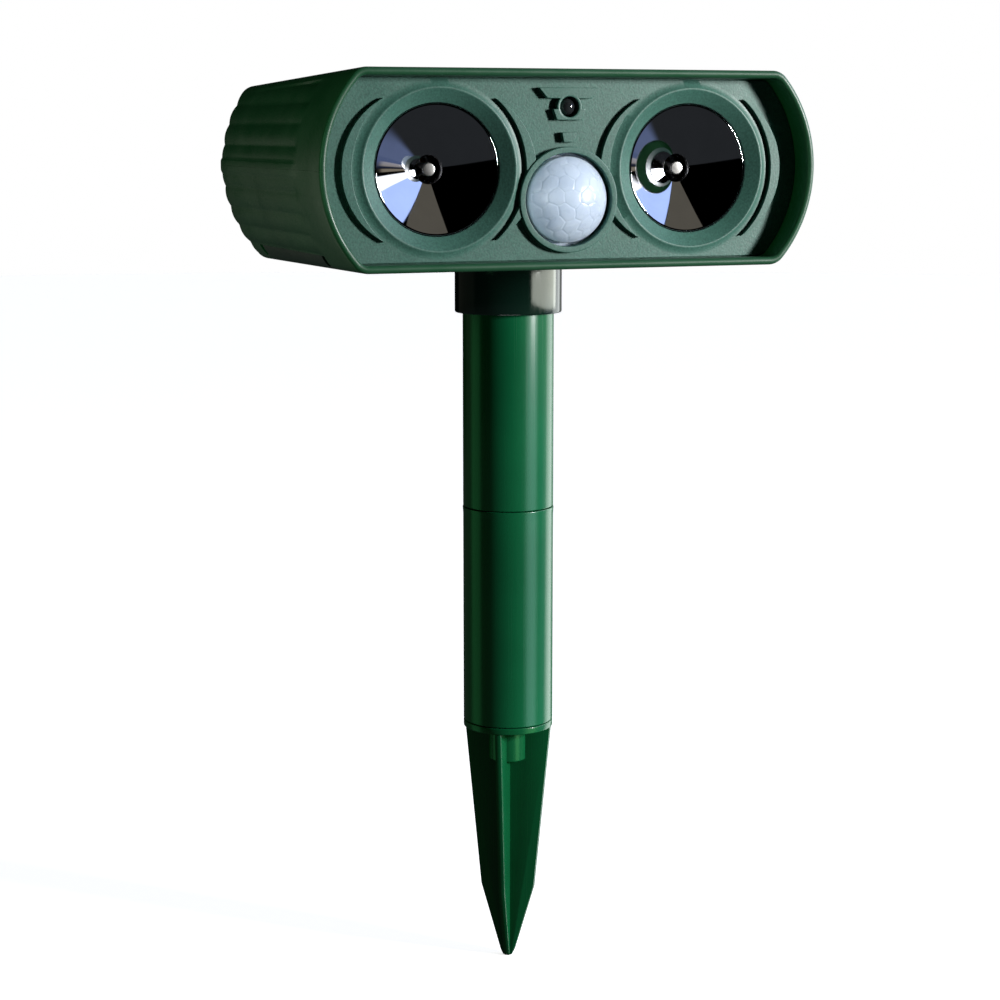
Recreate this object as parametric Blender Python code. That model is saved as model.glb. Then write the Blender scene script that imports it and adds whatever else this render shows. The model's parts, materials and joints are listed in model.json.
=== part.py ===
"""Solar ultrasonic pest repeller: a wide head with two horns on a two-piece garden stake.

The frame's origin is on the pole's axis at ground level, which is the underside of the
spike's flange. +Z is up, the head looks along -Y, and +X is to the right seen from the front.
Sizes below are in millimetres; meshes are scaled to metres as they are made.
"""

import math

import bmesh
import bpy
from mathutils import Matrix, Vector

MM = 0.001
GAP = 0.3  # left between pieces that touch

# Head: depths run back from the front edge of the bezel, heights from the seam between the shells
HEAD_SEAM_Z = 203.1
FRONT_Y = -63.1
HEAD_HALF_WIDTH = 87.8
HEAD_HALF_HEIGHT = 32.5
HEAD_DEPTH = 130.0
TOP_FALL = 3.9  # how much lower the top is at the back
BOTTOM_FALL = 1.9  # and the bottom
SIDE_RADIUS = 46.0
CORNER_RADIUS = 6.5
WALL = 2.8
REAR_WALL = 2.2
LIP = 2.6  # wall of the hood in front of the panel
FLUTE_START = 27.0
FLUTE_DEPTH = 0.65
FLUTE_PITCH = 7.6
SEAM_RIB = 2.0  # half the height of the rib along the seam
TONGUE = (0.9, 1.7)  # how far inside the wall's outer face the lower shell's tongue lies
TONGUE_RISE = 1.0
TONGUE_RUNS = ((1.5, 9.6), (13.5, 126.0))  # depths, leaving out the panel's groove

# Front panel
PANEL_FRONT = 9.3
PANEL_BACK = 12.5
GROOVE = (10.3, 12.8)  # depths of the groove round the inside that holds the panel's edge
GROOVE_INSET = 1.3
HORN_X = 44.85
HORN_MOUTH = 21.6
RING_CREST = 26.4
RING_FOOT = 29.2
RING_RISE = 1.4
BEVEL_DEPTH = 1.5
CRESCENT_INNER = 29.9
CRESCENT_OUTER = 25.6
CRESCENT_SHIFT = 7.8  # from the horn's centre to the centre of the crescent's outer arc
CRESCENT_RISE = 1.7
PIR_Z = -10.0
PIR_HOLE = 15.4
PIR_COLLAR = 17.4
PIR_DOME = 14.2
PIR_DOME_RISE = 7.8
COLLAR_RISE = 2.2
BAR_RISE = 2.2
LED_Z = 20.3
LED_HOLE = 3.35
LED_BOSS = 4.4
LED_BOSS_RISE = 2.2
# Bars between the horns: height above the seam, size up and down, width at the top and at the bottom
BARS = ((24.75, 3.5, 21.4, 15.8), (17.8, 3.6, 11.5, 9.0), (10.4, 3.2, 5.3, 4.0))

# Horns and drivers
HORN_FRONT = 11.2
HORN_LIP = 20.7
CONE_END = (4.8, 19.83)  # radius and depth where the cone turns into the throat
THROAT_RADIUS = 4.2
HORN_WALL = 1.6
PIN_TIP = 19.3
PIN_RADIUS = 2.2
LED_TIP = 7.3
DRIVER = (33.3, 46.0)
DRIVER_RADIUS = 15.0

# Batteries lie along Y in a holder to the left of the pole
CELL_XS = (-66.5, -51.0, -35.5)
CELL_Z = -21.9
CELL_RADIUS = 7.25
CELL_BODY = (56.0, 105.5)
HOLDER_X = (-75.2, -26.5)
HOLDER_Y = (50.0, 110.0)
HOLDER_Z = (-26.4, -12.4)
HOLDER_WALL = 1.4
DOOR_Y = (31.0, 113.0)
DOOR_X = -24.0
DOOR_TOP = -28.3
DOOR_SCREW = (-50.0, 41.0)

# Rear controls
BOARD_Y = (111.6, 113.2)
BOARD_X = (-22.0, 66.0)
KNOB_Z = 14.0
KNOB_XS = {"sensitivity": 6.0, "frequency": 38.0}
KNOB_RADIUS = 9.5
KNOB_POCKET = 11.5
POCKET_FLOOR = 124.0
SWITCH_X = 38.0
SWITCH_Z = -15.0
SWITCH_TRAVEL = 4.0
DC_X = 6.0
DC_Z = -15.0
CAP_HINGE_Z = -8.0
CAP_ANCHOR_Z = -4.7
BOARD_POSTS = ((-16.0, 20.0), (60.0, 20.0))
SENSOR_POSTS = ((-12.0, 24.0), (12.0, 24.0))
HOUSING_SCREWS = {
    "front_left": (-69.0, 26.0),
    "front_right": (69.0, 26.0),
    "rear_left": (-69.0, 120.0),
    "rear_right": (69.0, 120.0),
}

# Solar panel, let into the top
SOLAR_X = 47.0
SOLAR_Y = (34.0, 102.0)
SOLAR_RECESS = 3.2

# Pole and spike
TUBE_RADIUS = 16.3
TUBE_BORE = 14.0
SPIGOT = (13.6, 11.4)
SPIGOT_LENGTH = 20.0
FLANGE_TOP = 2.4
TUBE_SEAM = 81.7
COLLAR_RADIUS = 19.1
COLLAR_BOTTOM = 151.9
COLLAR_TOP = 169.1
SOCKET_ROOF = 167.4
SWIVEL_RADIUS = 12.0
SPIKE_TURN = math.radians(34.5)
FIN = 2.2
SPIKE_OUTLINE = ((16.0, 1.0), (16.0, 0.0), (10.0, -61.7), (2.6, -87.0), (1.6, -89.0))
HUB_RADIUS = 6.85
HUB_BOTTOM = -12.9

GREEN_SATIN = ((0.035, 0.115, 0.075), 0.5, 0.0)
GREEN_PANEL = ((0.075, 0.2, 0.14), 0.55, 0.0)
GREEN_GLOSS = ((0.004, 0.075, 0.025), 0.25, 0.0)
DARK_GLOSS = ((0.006, 0.02, 0.012), 0.1, 0.0)
BLACK = ((0.015, 0.015, 0.016), 0.45, 0.0)
RUBBER = ((0.02, 0.02, 0.02), 0.8, 0.0)
WHITE = ((0.75, 0.79, 0.88), 0.35, 0.0)
DARK_CHROME = ((0.2, 0.2, 0.22), 0.08, 1.0)
CHROME = ((0.75, 0.75, 0.77), 0.12, 1.0)
STEEL = ((0.5, 0.5, 0.5), 0.35, 1.0)
BRASS = ((0.75, 0.55, 0.2), 0.3, 1.0)
BOARD = ((0.02, 0.16, 0.07), 0.5, 0.0)
SILICON = ((0.01, 0.015, 0.05), 0.2, 0.0)
GLASS = ((0.6, 0.65, 0.7), 0.05, 0.0)
CELL_WRAP = ((0.08, 0.3, 0.12), 0.35, 0.0)
LED_DARK = ((0.03, 0.03, 0.035), 0.08, 0.0)
RED = ((0.5, 0.02, 0.02), 0.5, 0.0)


def clear_scene():
    for obj in list(bpy.data.objects):
        bpy.data.objects.remove(obj, do_unlink=True)


def material(name, finish):
    """A Principled material from (colour, roughness, metallic)."""
    colour, roughness, metallic = finish
    mat = bpy.data.materials.new(name)
    mat.use_nodes = True
    shader = mat.node_tree.nodes["Principled BSDF"]
    shader.inputs["Base Color"].default_value = (*colour, 1.0)
    shader.inputs["Roughness"].default_value = roughness
    shader.inputs["Metallic"].default_value = metallic
    mat.diffuse_color = (*colour, 1.0)
    return mat


def head(x, depth, height):
    """A place in the head, from its depth behind the bezel and its height above the seam."""
    return Vector((x, FRONT_Y + depth, HEAD_SEAM_Z + height))


# ---------------------------------------------------------------- making meshes


def finish_object(name, bm, finish, origin, turn=None):
    """Turns a bmesh in millimetres, built around origin, into a named object in metres."""
    bmesh.ops.remove_doubles(bm, verts=bm.verts, dist=1e-5)
    bmesh.ops.recalc_face_normals(bm, faces=bm.faces)
    bmesh.ops.scale(bm, vec=(MM, MM, MM), verts=bm.verts)
    mesh = bpy.data.meshes.new(name)
    bm.to_mesh(mesh)
    bm.free()
    mesh.shade_smooth()
    mesh.set_sharp_from_angle(angle=math.radians(32))
    obj = bpy.data.objects.new(name, mesh)
    obj.location = Vector(origin) * MM
    if turn:
        obj.rotation_euler = turn
    if finish:
        mesh.materials.append(material(name, finish))
    bpy.context.scene.collection.objects.link(obj)
    return obj


def loft(name, sections, finish=None, origin=(0, 0, 0), turn=None):
    """Closed solid through sections, each the same number of points round the outline."""
    bm = bmesh.new()
    rings = [[bm.verts.new(point) for point in section] for section in sections]
    for near, far in zip(rings, rings[1:]):
        for i in range(len(near)):
            j = (i + 1) % len(near)
            bm.faces.new((near[i], near[j], far[j], far[i]))
    bm.faces.new(rings[0])
    bm.faces.new(rings[-1])
    return finish_object(name, bm, finish, origin, turn)


def turned(name, profile, finish=None, origin=(0, 0, 0), axis="Y", segments=32):
    """Closed solid turned from a closed (radius, distance along axis) profile."""
    bm = bmesh.new()
    rings = []
    for radius, along in profile:
        angles = [2 * math.pi * i / segments for i in range(segments)] if radius > 0 else [0.0]
        rings.append(
            [bm.verts.new(on_axis(axis, radius * math.cos(a), radius * math.sin(a), along)) for a in angles]
        )
    for near, far in zip(rings, rings[1:] + rings[:1]):
        count = max(len(near), len(far))
        if count == 1:
            continue
        for i in range(count):
            j = (i + 1) % count
            corners = [near[i % len(near)], near[j % len(near)], far[j % len(far)], far[i % len(far)]]
            bm.faces.new(list(dict.fromkeys(corners)))
    return finish_object(name, bm, finish, origin)


def on_axis(axis, across, up, along):
    """Puts a point's distance along the axis in that axis's place."""
    return {"X": (along, across, up), "Y": (across, along, up), "Z": (across, up, along)}[axis]


def rod(name, radius, start, end, finish=None, origin=(0, 0, 0), axis="Y", segments=24):
    profile = ((0, start), (radius, start), (radius, end), (0, end))
    return turned(name, profile, finish, origin, axis, segments)


def block(name, low, high, finish=None, origin=(0, 0, 0), turn=None):
    """Box between two corners."""
    corners = [(low[0], low[2]), (high[0], low[2]), (high[0], high[2]), (low[0], high[2])]
    sections = [[(x, y, z) for x, z in corners] for y in (low[1], high[1])]
    return loft(name, sections, finish, origin, turn)


def rounded_block(name, low, high, radius, finish=None, origin=(0, 0, 0), turn=None):
    """Plate between two corners, its four corners seen along Z rounded."""
    outline = []
    for k, (cx, cy) in enumerate(
        ((high[0], high[1]), (low[0], high[1]), (low[0], low[1]), (high[0], low[1]))
    ):
        inner = (cx - math.copysign(radius, cx - (low[0] + high[0]) / 2),
                 cy - math.copysign(radius, cy - (low[1] + high[1]) / 2))
        outline += arc(inner, radius, math.radians(90 * k), math.radians(90 * k + 90), 4)
    sections = [[(x, y, z) for x, y in outline] for z in (low[2], high[2])]
    return loft(name, sections, finish, origin, turn)


def arc(centre, radius, start, end, steps):
    """Points on an arc, both ends included."""
    return [
        (
            centre[0] + radius * math.cos(start + (end - start) * i / steps),
            centre[1] + radius * math.sin(start + (end - start) * i / steps),
        )
        for i in range(steps + 1)
    ]


def lead(name, points, radius, finish):
    """A wire along one smooth curve through points given in the head."""
    places = [head(*point) for point in points]
    places = [places[0]] + places + [places[-1]]
    curve = bpy.data.curves.new(name, "CURVE")
    curve.dimensions = "3D"
    curve.bevel_depth = radius * MM
    curve.bevel_resolution = 2
    curve.use_fill_caps = True
    route = []
    for a, b, c, d in zip(places, places[1:], places[2:], places[3:]):
        slope, bend, twist = c - a, 2 * a - 5 * b + 4 * c - d, 3 * b - a - 3 * c + d
        for t in (0, 1 / 3, 2 / 3):
            route.append(b + 0.5 * (slope * t + bend * t**2 + twist * t**3))
    route.append(places[-1])
    spline = curve.splines.new("POLY")
    spline.points.add(len(route) - 1)
    for point, place in zip(spline.points, route):
        point.co = (*(place * MM), 1.0)
    curve.materials.append(material(name, finish))
    obj = bpy.data.objects.new(name, curve)
    bpy.context.scene.collection.objects.link(obj)
    return obj


def carve(obj, *cutters, operation="DIFFERENCE"):
    """Adds a Boolean for each helper and keeps the helper out of the render."""
    for cutter in cutters:
        modifier = obj.modifiers.new(f"{operation.title()} {cutter.name}", "BOOLEAN")
        modifier.operation = operation
        modifier.solver = "EXACT"
        modifier.object = cutter
        cutter.hide_render = True
        cutter.display_type = "WIRE"
    return obj


def join(obj, *pieces):
    return carve(obj, *pieces, operation="UNION")


# ---------------------------------------------------------------- head housing


def top_height(depth):
    return HEAD_HALF_HEIGHT - TOP_FALL * depth / HEAD_DEPTH


def side_points(half_height, inset, flutes, steps):
    """(x, z) from the seam up one side and round its corner to the top, for the side at +X."""
    centre_x = HEAD_HALF_WIDTH - SIDE_RADIUS
    rise = half_height - CORNER_RADIUS
    corner_x = centre_x + math.sqrt((SIDE_RADIUS - CORNER_RADIUS) ** 2 - rise**2)
    meet = math.atan2(rise, corner_x - centre_x)
    points = [(0.0, flutes * 0.5), (SEAM_RIB / SIDE_RADIUS, flutes * 0.5)]
    for i in range(1, steps + 1):
        angle = SEAM_RIB * 1.2 / SIDE_RADIUS + (meet - SEAM_RIB * 1.2 / SIDE_RADIUS) * i / steps
        scallop = abs(math.sin(math.pi * angle * SIDE_RADIUS / FLUTE_PITCH))
        points.append((angle, -flutes * FLUTE_DEPTH * (1 - scallop)))
    side = [
        (centre_x + (SIDE_RADIUS - inset + out) * math.cos(a), (SIDE_RADIUS - inset + out) * math.sin(a))
        for a, out in points
    ]
    corner = arc((corner_x, rise), CORNER_RADIUS - inset, meet, math.pi / 2, 3)
    return side[:-1] + corner


def head_section(depth, inset, flutes=0.0, steps=5):
    """Cross-section of the head as 3D points all the way round, anticlockwise from the front."""
    upper = side_points(top_height(depth), inset, flutes, steps)
    lower = side_points(HEAD_HALF_HEIGHT + BOTTOM_FALL * depth / HEAD_DEPTH, inset, flutes, steps)
    loop = upper + [(-x, z) for x, z in reversed(upper)][:-1]
    loop += [(-x, -z) for x, z in lower] + [(x, -z) for x, z in reversed(lower)][:-1]
    return [head(x, depth, z) for x, z in loop]


def head_solid(name, finish):
    """The outside of the head as one solid, fluted on both sides towards the back."""
    stations = (
        (0.0, 0.8, 0.0),
        (0.8, 0.0, 0.0),
        (FLUTE_START, 0.0, 0.0),
        (FLUTE_START + 4, 0.0, 1.0),
        (HEAD_DEPTH - 3.5, 0.0, 1.0),
        (HEAD_DEPTH - 1.0, 1.0, 1.0),
        (HEAD_DEPTH, 3.0, 0.5),
    )
    return loft(name, [head_section(*station, steps=15) for station in stations], finish)


def head_cavity():
    """Inside of both shells: the hood, the groove that holds the panel, and the room behind it."""
    stations = (
        (-1.0, LIP),
        (GROOVE[0], LIP),
        (GROOVE[0], GROOVE_INSET),
        (GROOVE[1], GROOVE_INSET),
        (GROOVE[1], WALL),
        (HEAD_DEPTH - 5.0, WALL),
        (HEAD_DEPTH - REAR_WALL, 2 * WALL),
    )
    return loft("cavity_cutter", [head_section(depth, inset) for depth, inset in stations])


def seam_half(above):
    """Cutter that takes away the half of the head on one side of the seam."""
    edges = (-GAP / 2, 60.0) if above else (-60.0, GAP / 2)
    low = head(-120.0, -10.0, edges[0])
    high = head(120.0, HEAD_DEPTH + 10.0, edges[1])
    return block("above_seam_cutter" if above else "below_seam_cutter", low, high)


def seam_strips(name, clearance):
    """Strips along the side walls: the lower shell's tongues, or their grooves when widened."""
    strips = []
    for side, sign in (("left", -1), ("right", 1)):
        near, far = sorted(sign * (HEAD_HALF_WIDTH - inset) for inset in TONGUE)
        for i, (start, end) in enumerate(TONGUE_RUNS):
            low = head(near - clearance, start - clearance, -1.0)
            high = head(far + clearance, end + clearance, TONGUE_RISE + clearance)
            strips.append(block(f"{name}_{side}_{i}", low, high))
    return strips


def top_plate(name, half_x, depths, top, bottom, radius, finish=None):
    """Plate lying in the sloping top, its faces top and bottom below the shell's surface."""
    middle = (depths[0] + depths[1]) / 2
    half_y = (depths[1] - depths[0]) / 2
    turn = (-math.atan(TOP_FALL / HEAD_DEPTH), 0, 0)
    origin = head(0, middle, top_height(middle))
    low, high = (-half_x, -half_y, -bottom), (half_x, half_y, -top)
    return rounded_block(name, low, high, radius, finish, origin, turn)


def make_upper_shell(cavity):
    shell = head_solid("upper_shell", GREEN_SATIN)
    carve(shell, cavity, seam_half(above=False), *seam_strips("seam_groove", GAP))
    tray = top_plate("solar_tray", SOLAR_X + 2, (SOLAR_Y[0] - 2, SOLAR_Y[1] + 2), 1.0, 5.2, 3.0)
    recess = top_plate("solar_recess", SOLAR_X, SOLAR_Y, -2.0, SOLAR_RECESS, 2.0)
    wire_hole = rod("solar_wire_hole", 1.8, 20.0, 40.0, origin=head(0, 60.0, 0), axis="Z", segments=12)
    join(shell, tray)
    carve(shell, recess, wire_hole)
    for name, (x, depth) in HOUSING_SCREWS.items():
        place = head(x, depth, 0)
        boss = rod(f"boss_{name}", 4.0, 0.8, top_height(depth) - 2.4, origin=place, axis="Z", segments=16)
        pilot = rod(f"pilot_{name}", 1.7, 0.0, 16.0, origin=place, axis="Z", segments=12)
        join(shell, boss)
        carve(shell, pilot)
    for name, x in KNOB_XS.items():
        place = head(x, 0, KNOB_Z)
        cup = rod(f"cup_{name}", KNOB_POCKET + 1.6, POCKET_FLOOR - REAR_WALL, HEAD_DEPTH - 1, origin=place)
        pocket = rod(f"pocket_{name}", KNOB_POCKET, POCKET_FLOOR, HEAD_DEPTH + 5, origin=place)
        shaft_hole = rod(f"shaft_hole_{name}", 3.4, 100.0, HEAD_DEPTH, origin=place, segments=16)
        join(shell, cup)
        carve(shell, pocket, shaft_hole)
    for i, (x, height) in enumerate(BOARD_POSTS):
        place = head(x, 0, height)
        start = BOARD_Y[1] + GAP
        join(shell, rod(f"board_post_{i}", 3.0, start, HEAD_DEPTH - 1.5, origin=place, segments=12))
        carve(shell, rod(f"board_pilot_{i}", 1.4, start - 1, start + 9, origin=place, segments=12))
    return shell


def door_box(name, clearance):
    """Region of the wall that the battery door takes up, or the hole for it when widened."""
    low = head(-120.0, DOOR_Y[0] - clearance, -60.0)
    high = head(DOOR_X + clearance, DOOR_Y[1] + clearance, DOOR_TOP + clearance)
    return block(name, low, high)


def make_lower_shell(cavity):
    shell = head_solid("lower_shell", GREEN_SATIN)
    carve(shell, cavity, seam_half(above=True), door_box("door_opening", GAP))
    join(shell, *seam_strips("tongue", 0.0))
    pole = head(0, -FRONT_Y, 0)
    bearing = rod("swivel_bearing", SWIVEL_RADIUS + 3.3, -31.5, -27.0, origin=pole, axis="Z")
    bore = rod("swivel_bore", SWIVEL_RADIUS + GAP, -40.0, -20.0, origin=pole, axis="Z")
    join(shell, bearing)
    carve(shell, bore)
    for name, (x, depth) in HOUSING_SCREWS.items():
        place = head(x, depth, 0)
        join(shell, rod(f"post_{name}", 4.4, -32.2, -0.6, origin=place, axis="Z", segments=16))
        carve(
            shell,
            rod(f"screw_hole_{name}", 1.8, -40.0, 5.0, origin=place, axis="Z", segments=12),
            rod(f"head_hole_{name}", 3.2, -40.0, -24.0, origin=place, axis="Z", segments=16),
        )
    slot = block(
        "switch_slot",
        head(SWITCH_X - 4.6, 100.0, SWITCH_Z - 2.0),
        head(SWITCH_X + 4.6, HEAD_DEPTH + 5, SWITCH_Z + 2.0),
    )
    dc_hole = rod("dc_hole", 4.2, 100.0, HEAD_DEPTH + 5, origin=head(DC_X, 0, DC_Z), segments=20)
    anchor = head(DC_X, 0, CAP_ANCHOR_Z)
    anchor_hole = rod("anchor_hole", 1.3, 100.0, HEAD_DEPTH + 5, origin=anchor, segments=12)
    return carve(shell, slot, dc_hole, anchor_hole)


def make_battery_door(cavity):
    """The door is the piece of wall that closes the opening, round the left corner."""
    door = head_solid("battery_door", GREEN_SATIN)
    carve(door, cavity)
    carve(door, door_box("door_limits", 0.0), operation="INTERSECT")
    place = head(DOOR_SCREW[0], DOOR_SCREW[1], 0)
    recess = rod("door_screw_recess", 3.0, -40.0, -31.3, origin=place, axis="Z", segments=16)
    hole = rod("door_screw_hole", 1.5, -40.0, -20.0, origin=place, axis="Z", segments=12)
    return carve(door, recess, hole)


def crescent(name, side, sign):
    """Raised crescent on one side of a horn: a moon between two arcs."""
    outer_centre = CRESCENT_SHIFT
    reach = (CRESCENT_INNER**2 - CRESCENT_OUTER**2 + outer_centre**2) / (2 * outer_centre)
    inner_end = math.acos(reach / CRESCENT_INNER)
    outer_end = math.atan2(CRESCENT_INNER * math.sin(inner_end), reach - outer_centre)
    outline = arc((outer_centre, 0), CRESCENT_OUTER, -outer_end, outer_end, 12)
    outline += arc((0, 0), CRESCENT_INNER, inner_end, -inner_end, 12)[1:-1]
    sections = [
        [head(sign * HORN_X + side * x, depth, z) for x, z in outline]
        for depth in (PANEL_FRONT - CRESCENT_RISE, PANEL_BACK - 1.0)
    ]
    return loft(name, sections)


def bar(name, height, tall, top_width, bottom_width):
    """Raised bar under the LED, wider at its top edge."""
    outline = (
        (-top_width / 2, tall / 2),
        (-bottom_width / 2, -tall / 2),
        (bottom_width / 2, -tall / 2),
        (top_width / 2, tall / 2),
    )
    sections = [
        [head(x, depth, height + z) for x, z in outline]
        for depth in (PANEL_FRONT - BAR_RISE, PANEL_BACK - 1.3)
    ]
    return loft(name, sections)


def make_front_panel():
    """Plate with an edge flange for the groove, raised rings and bars, and the holes."""
    stations = ((PANEL_FRONT, LIP + GAP), (GROOVE[0] + GAP, LIP + GAP))
    stations += ((GROOVE[0] + GAP, GROOVE_INSET + GAP), (PANEL_BACK, GROOVE_INSET + GAP))
    panel = loft("front_panel", [head_section(depth, inset) for depth, inset in stations], GREEN_PANEL)
    for sign, label in ((-1, "left"), (1, "right")):
        place = head(sign * HORN_X, 0, 0)
        crest = PANEL_FRONT - RING_RISE
        bevel_end = PANEL_FRONT + BEVEL_DEPTH
        inner_crest = RING_CREST - 0.3
        slope = (inner_crest - HORN_MOUTH) / (bevel_end - crest)
        ring = (
            (20.5, 12.2),
            (20.5, crest),
            (RING_CREST, crest),
            (RING_FOOT + 0.3, PANEL_FRONT + 0.15),
            (RING_FOOT + 0.3, 12.2),
        )
        mouth = (
            (0, 14.0),
            (HORN_MOUTH, 14.0),
            (HORN_MOUTH, bevel_end),
            (inner_crest + slope, crest - 1.0),
            (0, crest - 1.0),
        )
        join(panel, turned(f"ring_{label}", ring, origin=place, segments=36))
        join(panel, crescent(f"outer_crescent_{label}", sign, sign))
        join(panel, crescent(f"inner_crescent_{label}", -sign, sign))
        carve(panel, turned(f"mouth_{label}", mouth, origin=place, segments=36))
    pir = head(0, 0, PIR_Z)
    led = head(0, 0, LED_Z)
    join(panel, rod("pir_collar", PIR_COLLAR, PANEL_FRONT - COLLAR_RISE, 12.1, origin=pir, segments=32))
    carve(panel, rod("pir_hole", PIR_HOLE, 0.0, 20.0, origin=pir, segments=32))
    for i, (height, tall, top_width, bottom_width) in enumerate(BARS):
        join(panel, bar(f"bar_{i}", height, tall, top_width, bottom_width))
    join(panel, rod("led_boss", LED_BOSS, PANEL_FRONT - LED_BOSS_RISE, 12.0, origin=led, segments=20))
    carve(panel, rod("led_hole", LED_HOLE, 0.0, 20.0, origin=led, segments=20))
    for i, (x, height) in enumerate(SENSOR_POSTS):
        place = head(x, 0, height)
        join(panel, rod(f"sensor_post_{i}", 2.6, PANEL_BACK - 1.0, 23.7, origin=place, segments=12))
        carve(panel, rod(f"sensor_pilot_{i}", 1.3, 16.0, 25.0, origin=place, segments=12))
    for modifier in panel.modifiers:
        modifier.solver = "MANIFOLD"  # EXACT leaves open edges where the crescents graze the collar
    return panel


def make_screw(name, origin, direction, head_radius, head_height, shank_radius, length, finish=STEEL):
    """Pan-head screw with a cross slot; its origin is under the head and it points along direction."""
    profile = (
        (0, -head_height),
        (head_radius * 0.7, -head_height),
        (head_radius, -head_height * 0.5),
        (head_radius, 0),
        (shank_radius, 0),
        (shank_radius, length - 1.2),
        (shank_radius * 0.3, length),
        (0, length),
    )
    screw = turned(name, profile, finish, origin, "Z", 8)
    turn = Vector((0, 0, 1)).rotation_difference(Vector(direction))
    screw.rotation_mode = "QUATERNION"
    screw.rotation_quaternion = turn
    arm, half, deep = head_radius * 0.65, head_radius * 0.12, head_height * 0.55
    for i, (x, y) in enumerate(((arm, half), (half, arm))):
        low, high = (-x, -y, -head_height - 1), (x, y, -head_height + deep)
        slot = block(f"{name}_slot_{i}", low, high)
        slot.location = screw.location
        slot.rotation_mode = "QUATERNION"
        slot.rotation_quaternion = turn
        carve(screw, slot)
    return screw


def make_housing_screws():
    for name, (x, depth) in HOUSING_SCREWS.items():
        make_screw(f"housing_screw_{name}", head(x, depth, -24.0 - GAP), (0, 0, 1), 2.8, 2.0, 1.4, 36.0)


# ---------------------------------------------------------------- sound


def cone_depth(radius):
    """Depth of the horn's inside face where it has this radius."""
    share = (HORN_LIP - radius) / (HORN_LIP - CONE_END[0])
    return HORN_FRONT + (CONE_END[1] - HORN_FRONT) * share


def make_horn(label, sign):
    """Straight cone that runs into a narrow throat, with a flange that is clamped behind the panel."""
    end_radius, end_depth = CONE_END
    inside = [
        (HORN_LIP, HORN_FRONT),
        CONE_END,
        (THROAT_RADIUS + 0.2, end_depth + 0.7),
        (THROAT_RADIUS, end_depth + 1.7),
        (THROAT_RADIUS, 33.0),
    ]
    flange = (13.6, 15.2)
    meet = end_radius + 1.8
    slope = (HORN_LIP - end_radius) / (end_depth - HORN_FRONT)
    wide = HORN_LIP - (flange[1] - HORN_WALL - HORN_FRONT) * slope
    outside = [
        (9.0, 33.0),
        (9.0, 28.5),
        (meet - 0.8, 28.5),
        (meet - 0.8, end_depth + HORN_WALL),
        (meet, cone_depth(meet) + HORN_WALL),
        (wide, flange[1]),
        (25.0, flange[1]),
        (25.0, flange[0]),
        (21.3, flange[0]),
        (21.3, HORN_FRONT),
    ]
    turned(f"horn_{label}", inside + outside, DARK_CHROME, head(sign * HORN_X, 0, 0), segments=36)


def make_horn_parts(label, sign):
    place = head(sign * HORN_X, 0, 0)
    make_horn(label, sign)
    gasket = ((22.0, 12.8), (25.0, 12.8), (25.0, 13.3), (22.0, 13.3))
    turned(f"horn_gasket_{label}", gasket, RUBBER, place, segments=24)
    pin = (
        (0, PIN_TIP),
        (PIN_RADIUS - 0.3, PIN_TIP),
        (PIN_RADIUS, PIN_TIP + 0.3),
        (PIN_RADIUS, 33.5),
        (7.2, 33.5),
        (7.2, 34.7),
        (0, 34.7),
    )
    phase_pin = turned(f"phase_pin_{label}", pin, CHROME, place, segments=24)
    for i in range(4):
        angle = math.pi * (0.25 + i / 2)
        hole_at = place + Vector((4.7 * math.cos(angle), 0, 4.7 * math.sin(angle)))
        carve(phase_pin, rod(f"pin_port_{label}_{i}", 1.7, 30.0, 40.0, origin=hole_at, segments=8))
    front, back = DRIVER
    cup = (
        (7.6, front),
        (DRIVER_RADIUS - 1, front),
        (DRIVER_RADIUS, front + 1),
        (DRIVER_RADIUS, back - 1),
        (DRIVER_RADIUS - 1, back),
        (0, back),
        (0, back - 2),
        (13.0, back - 2),
        (13.0, front + 2),
        (7.6, front + 2),
    )
    turned(f"driver_housing_{label}", cup, BLACK, place, segments=24)
    rod(f"piezo_disc_{label}", 12.5, 38.0, 38.8, BRASS, place, segments=24)


# ---------------------------------------------------------------- sensing


def dome_points(radius, centre, edge):
    """(radius, depth) points from a dome's crown to the angle of its edge."""
    return [
        (radius * math.sin(edge * i / 5), centre - radius * math.cos(edge * i / 5)) for i in range(6)
    ]


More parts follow.
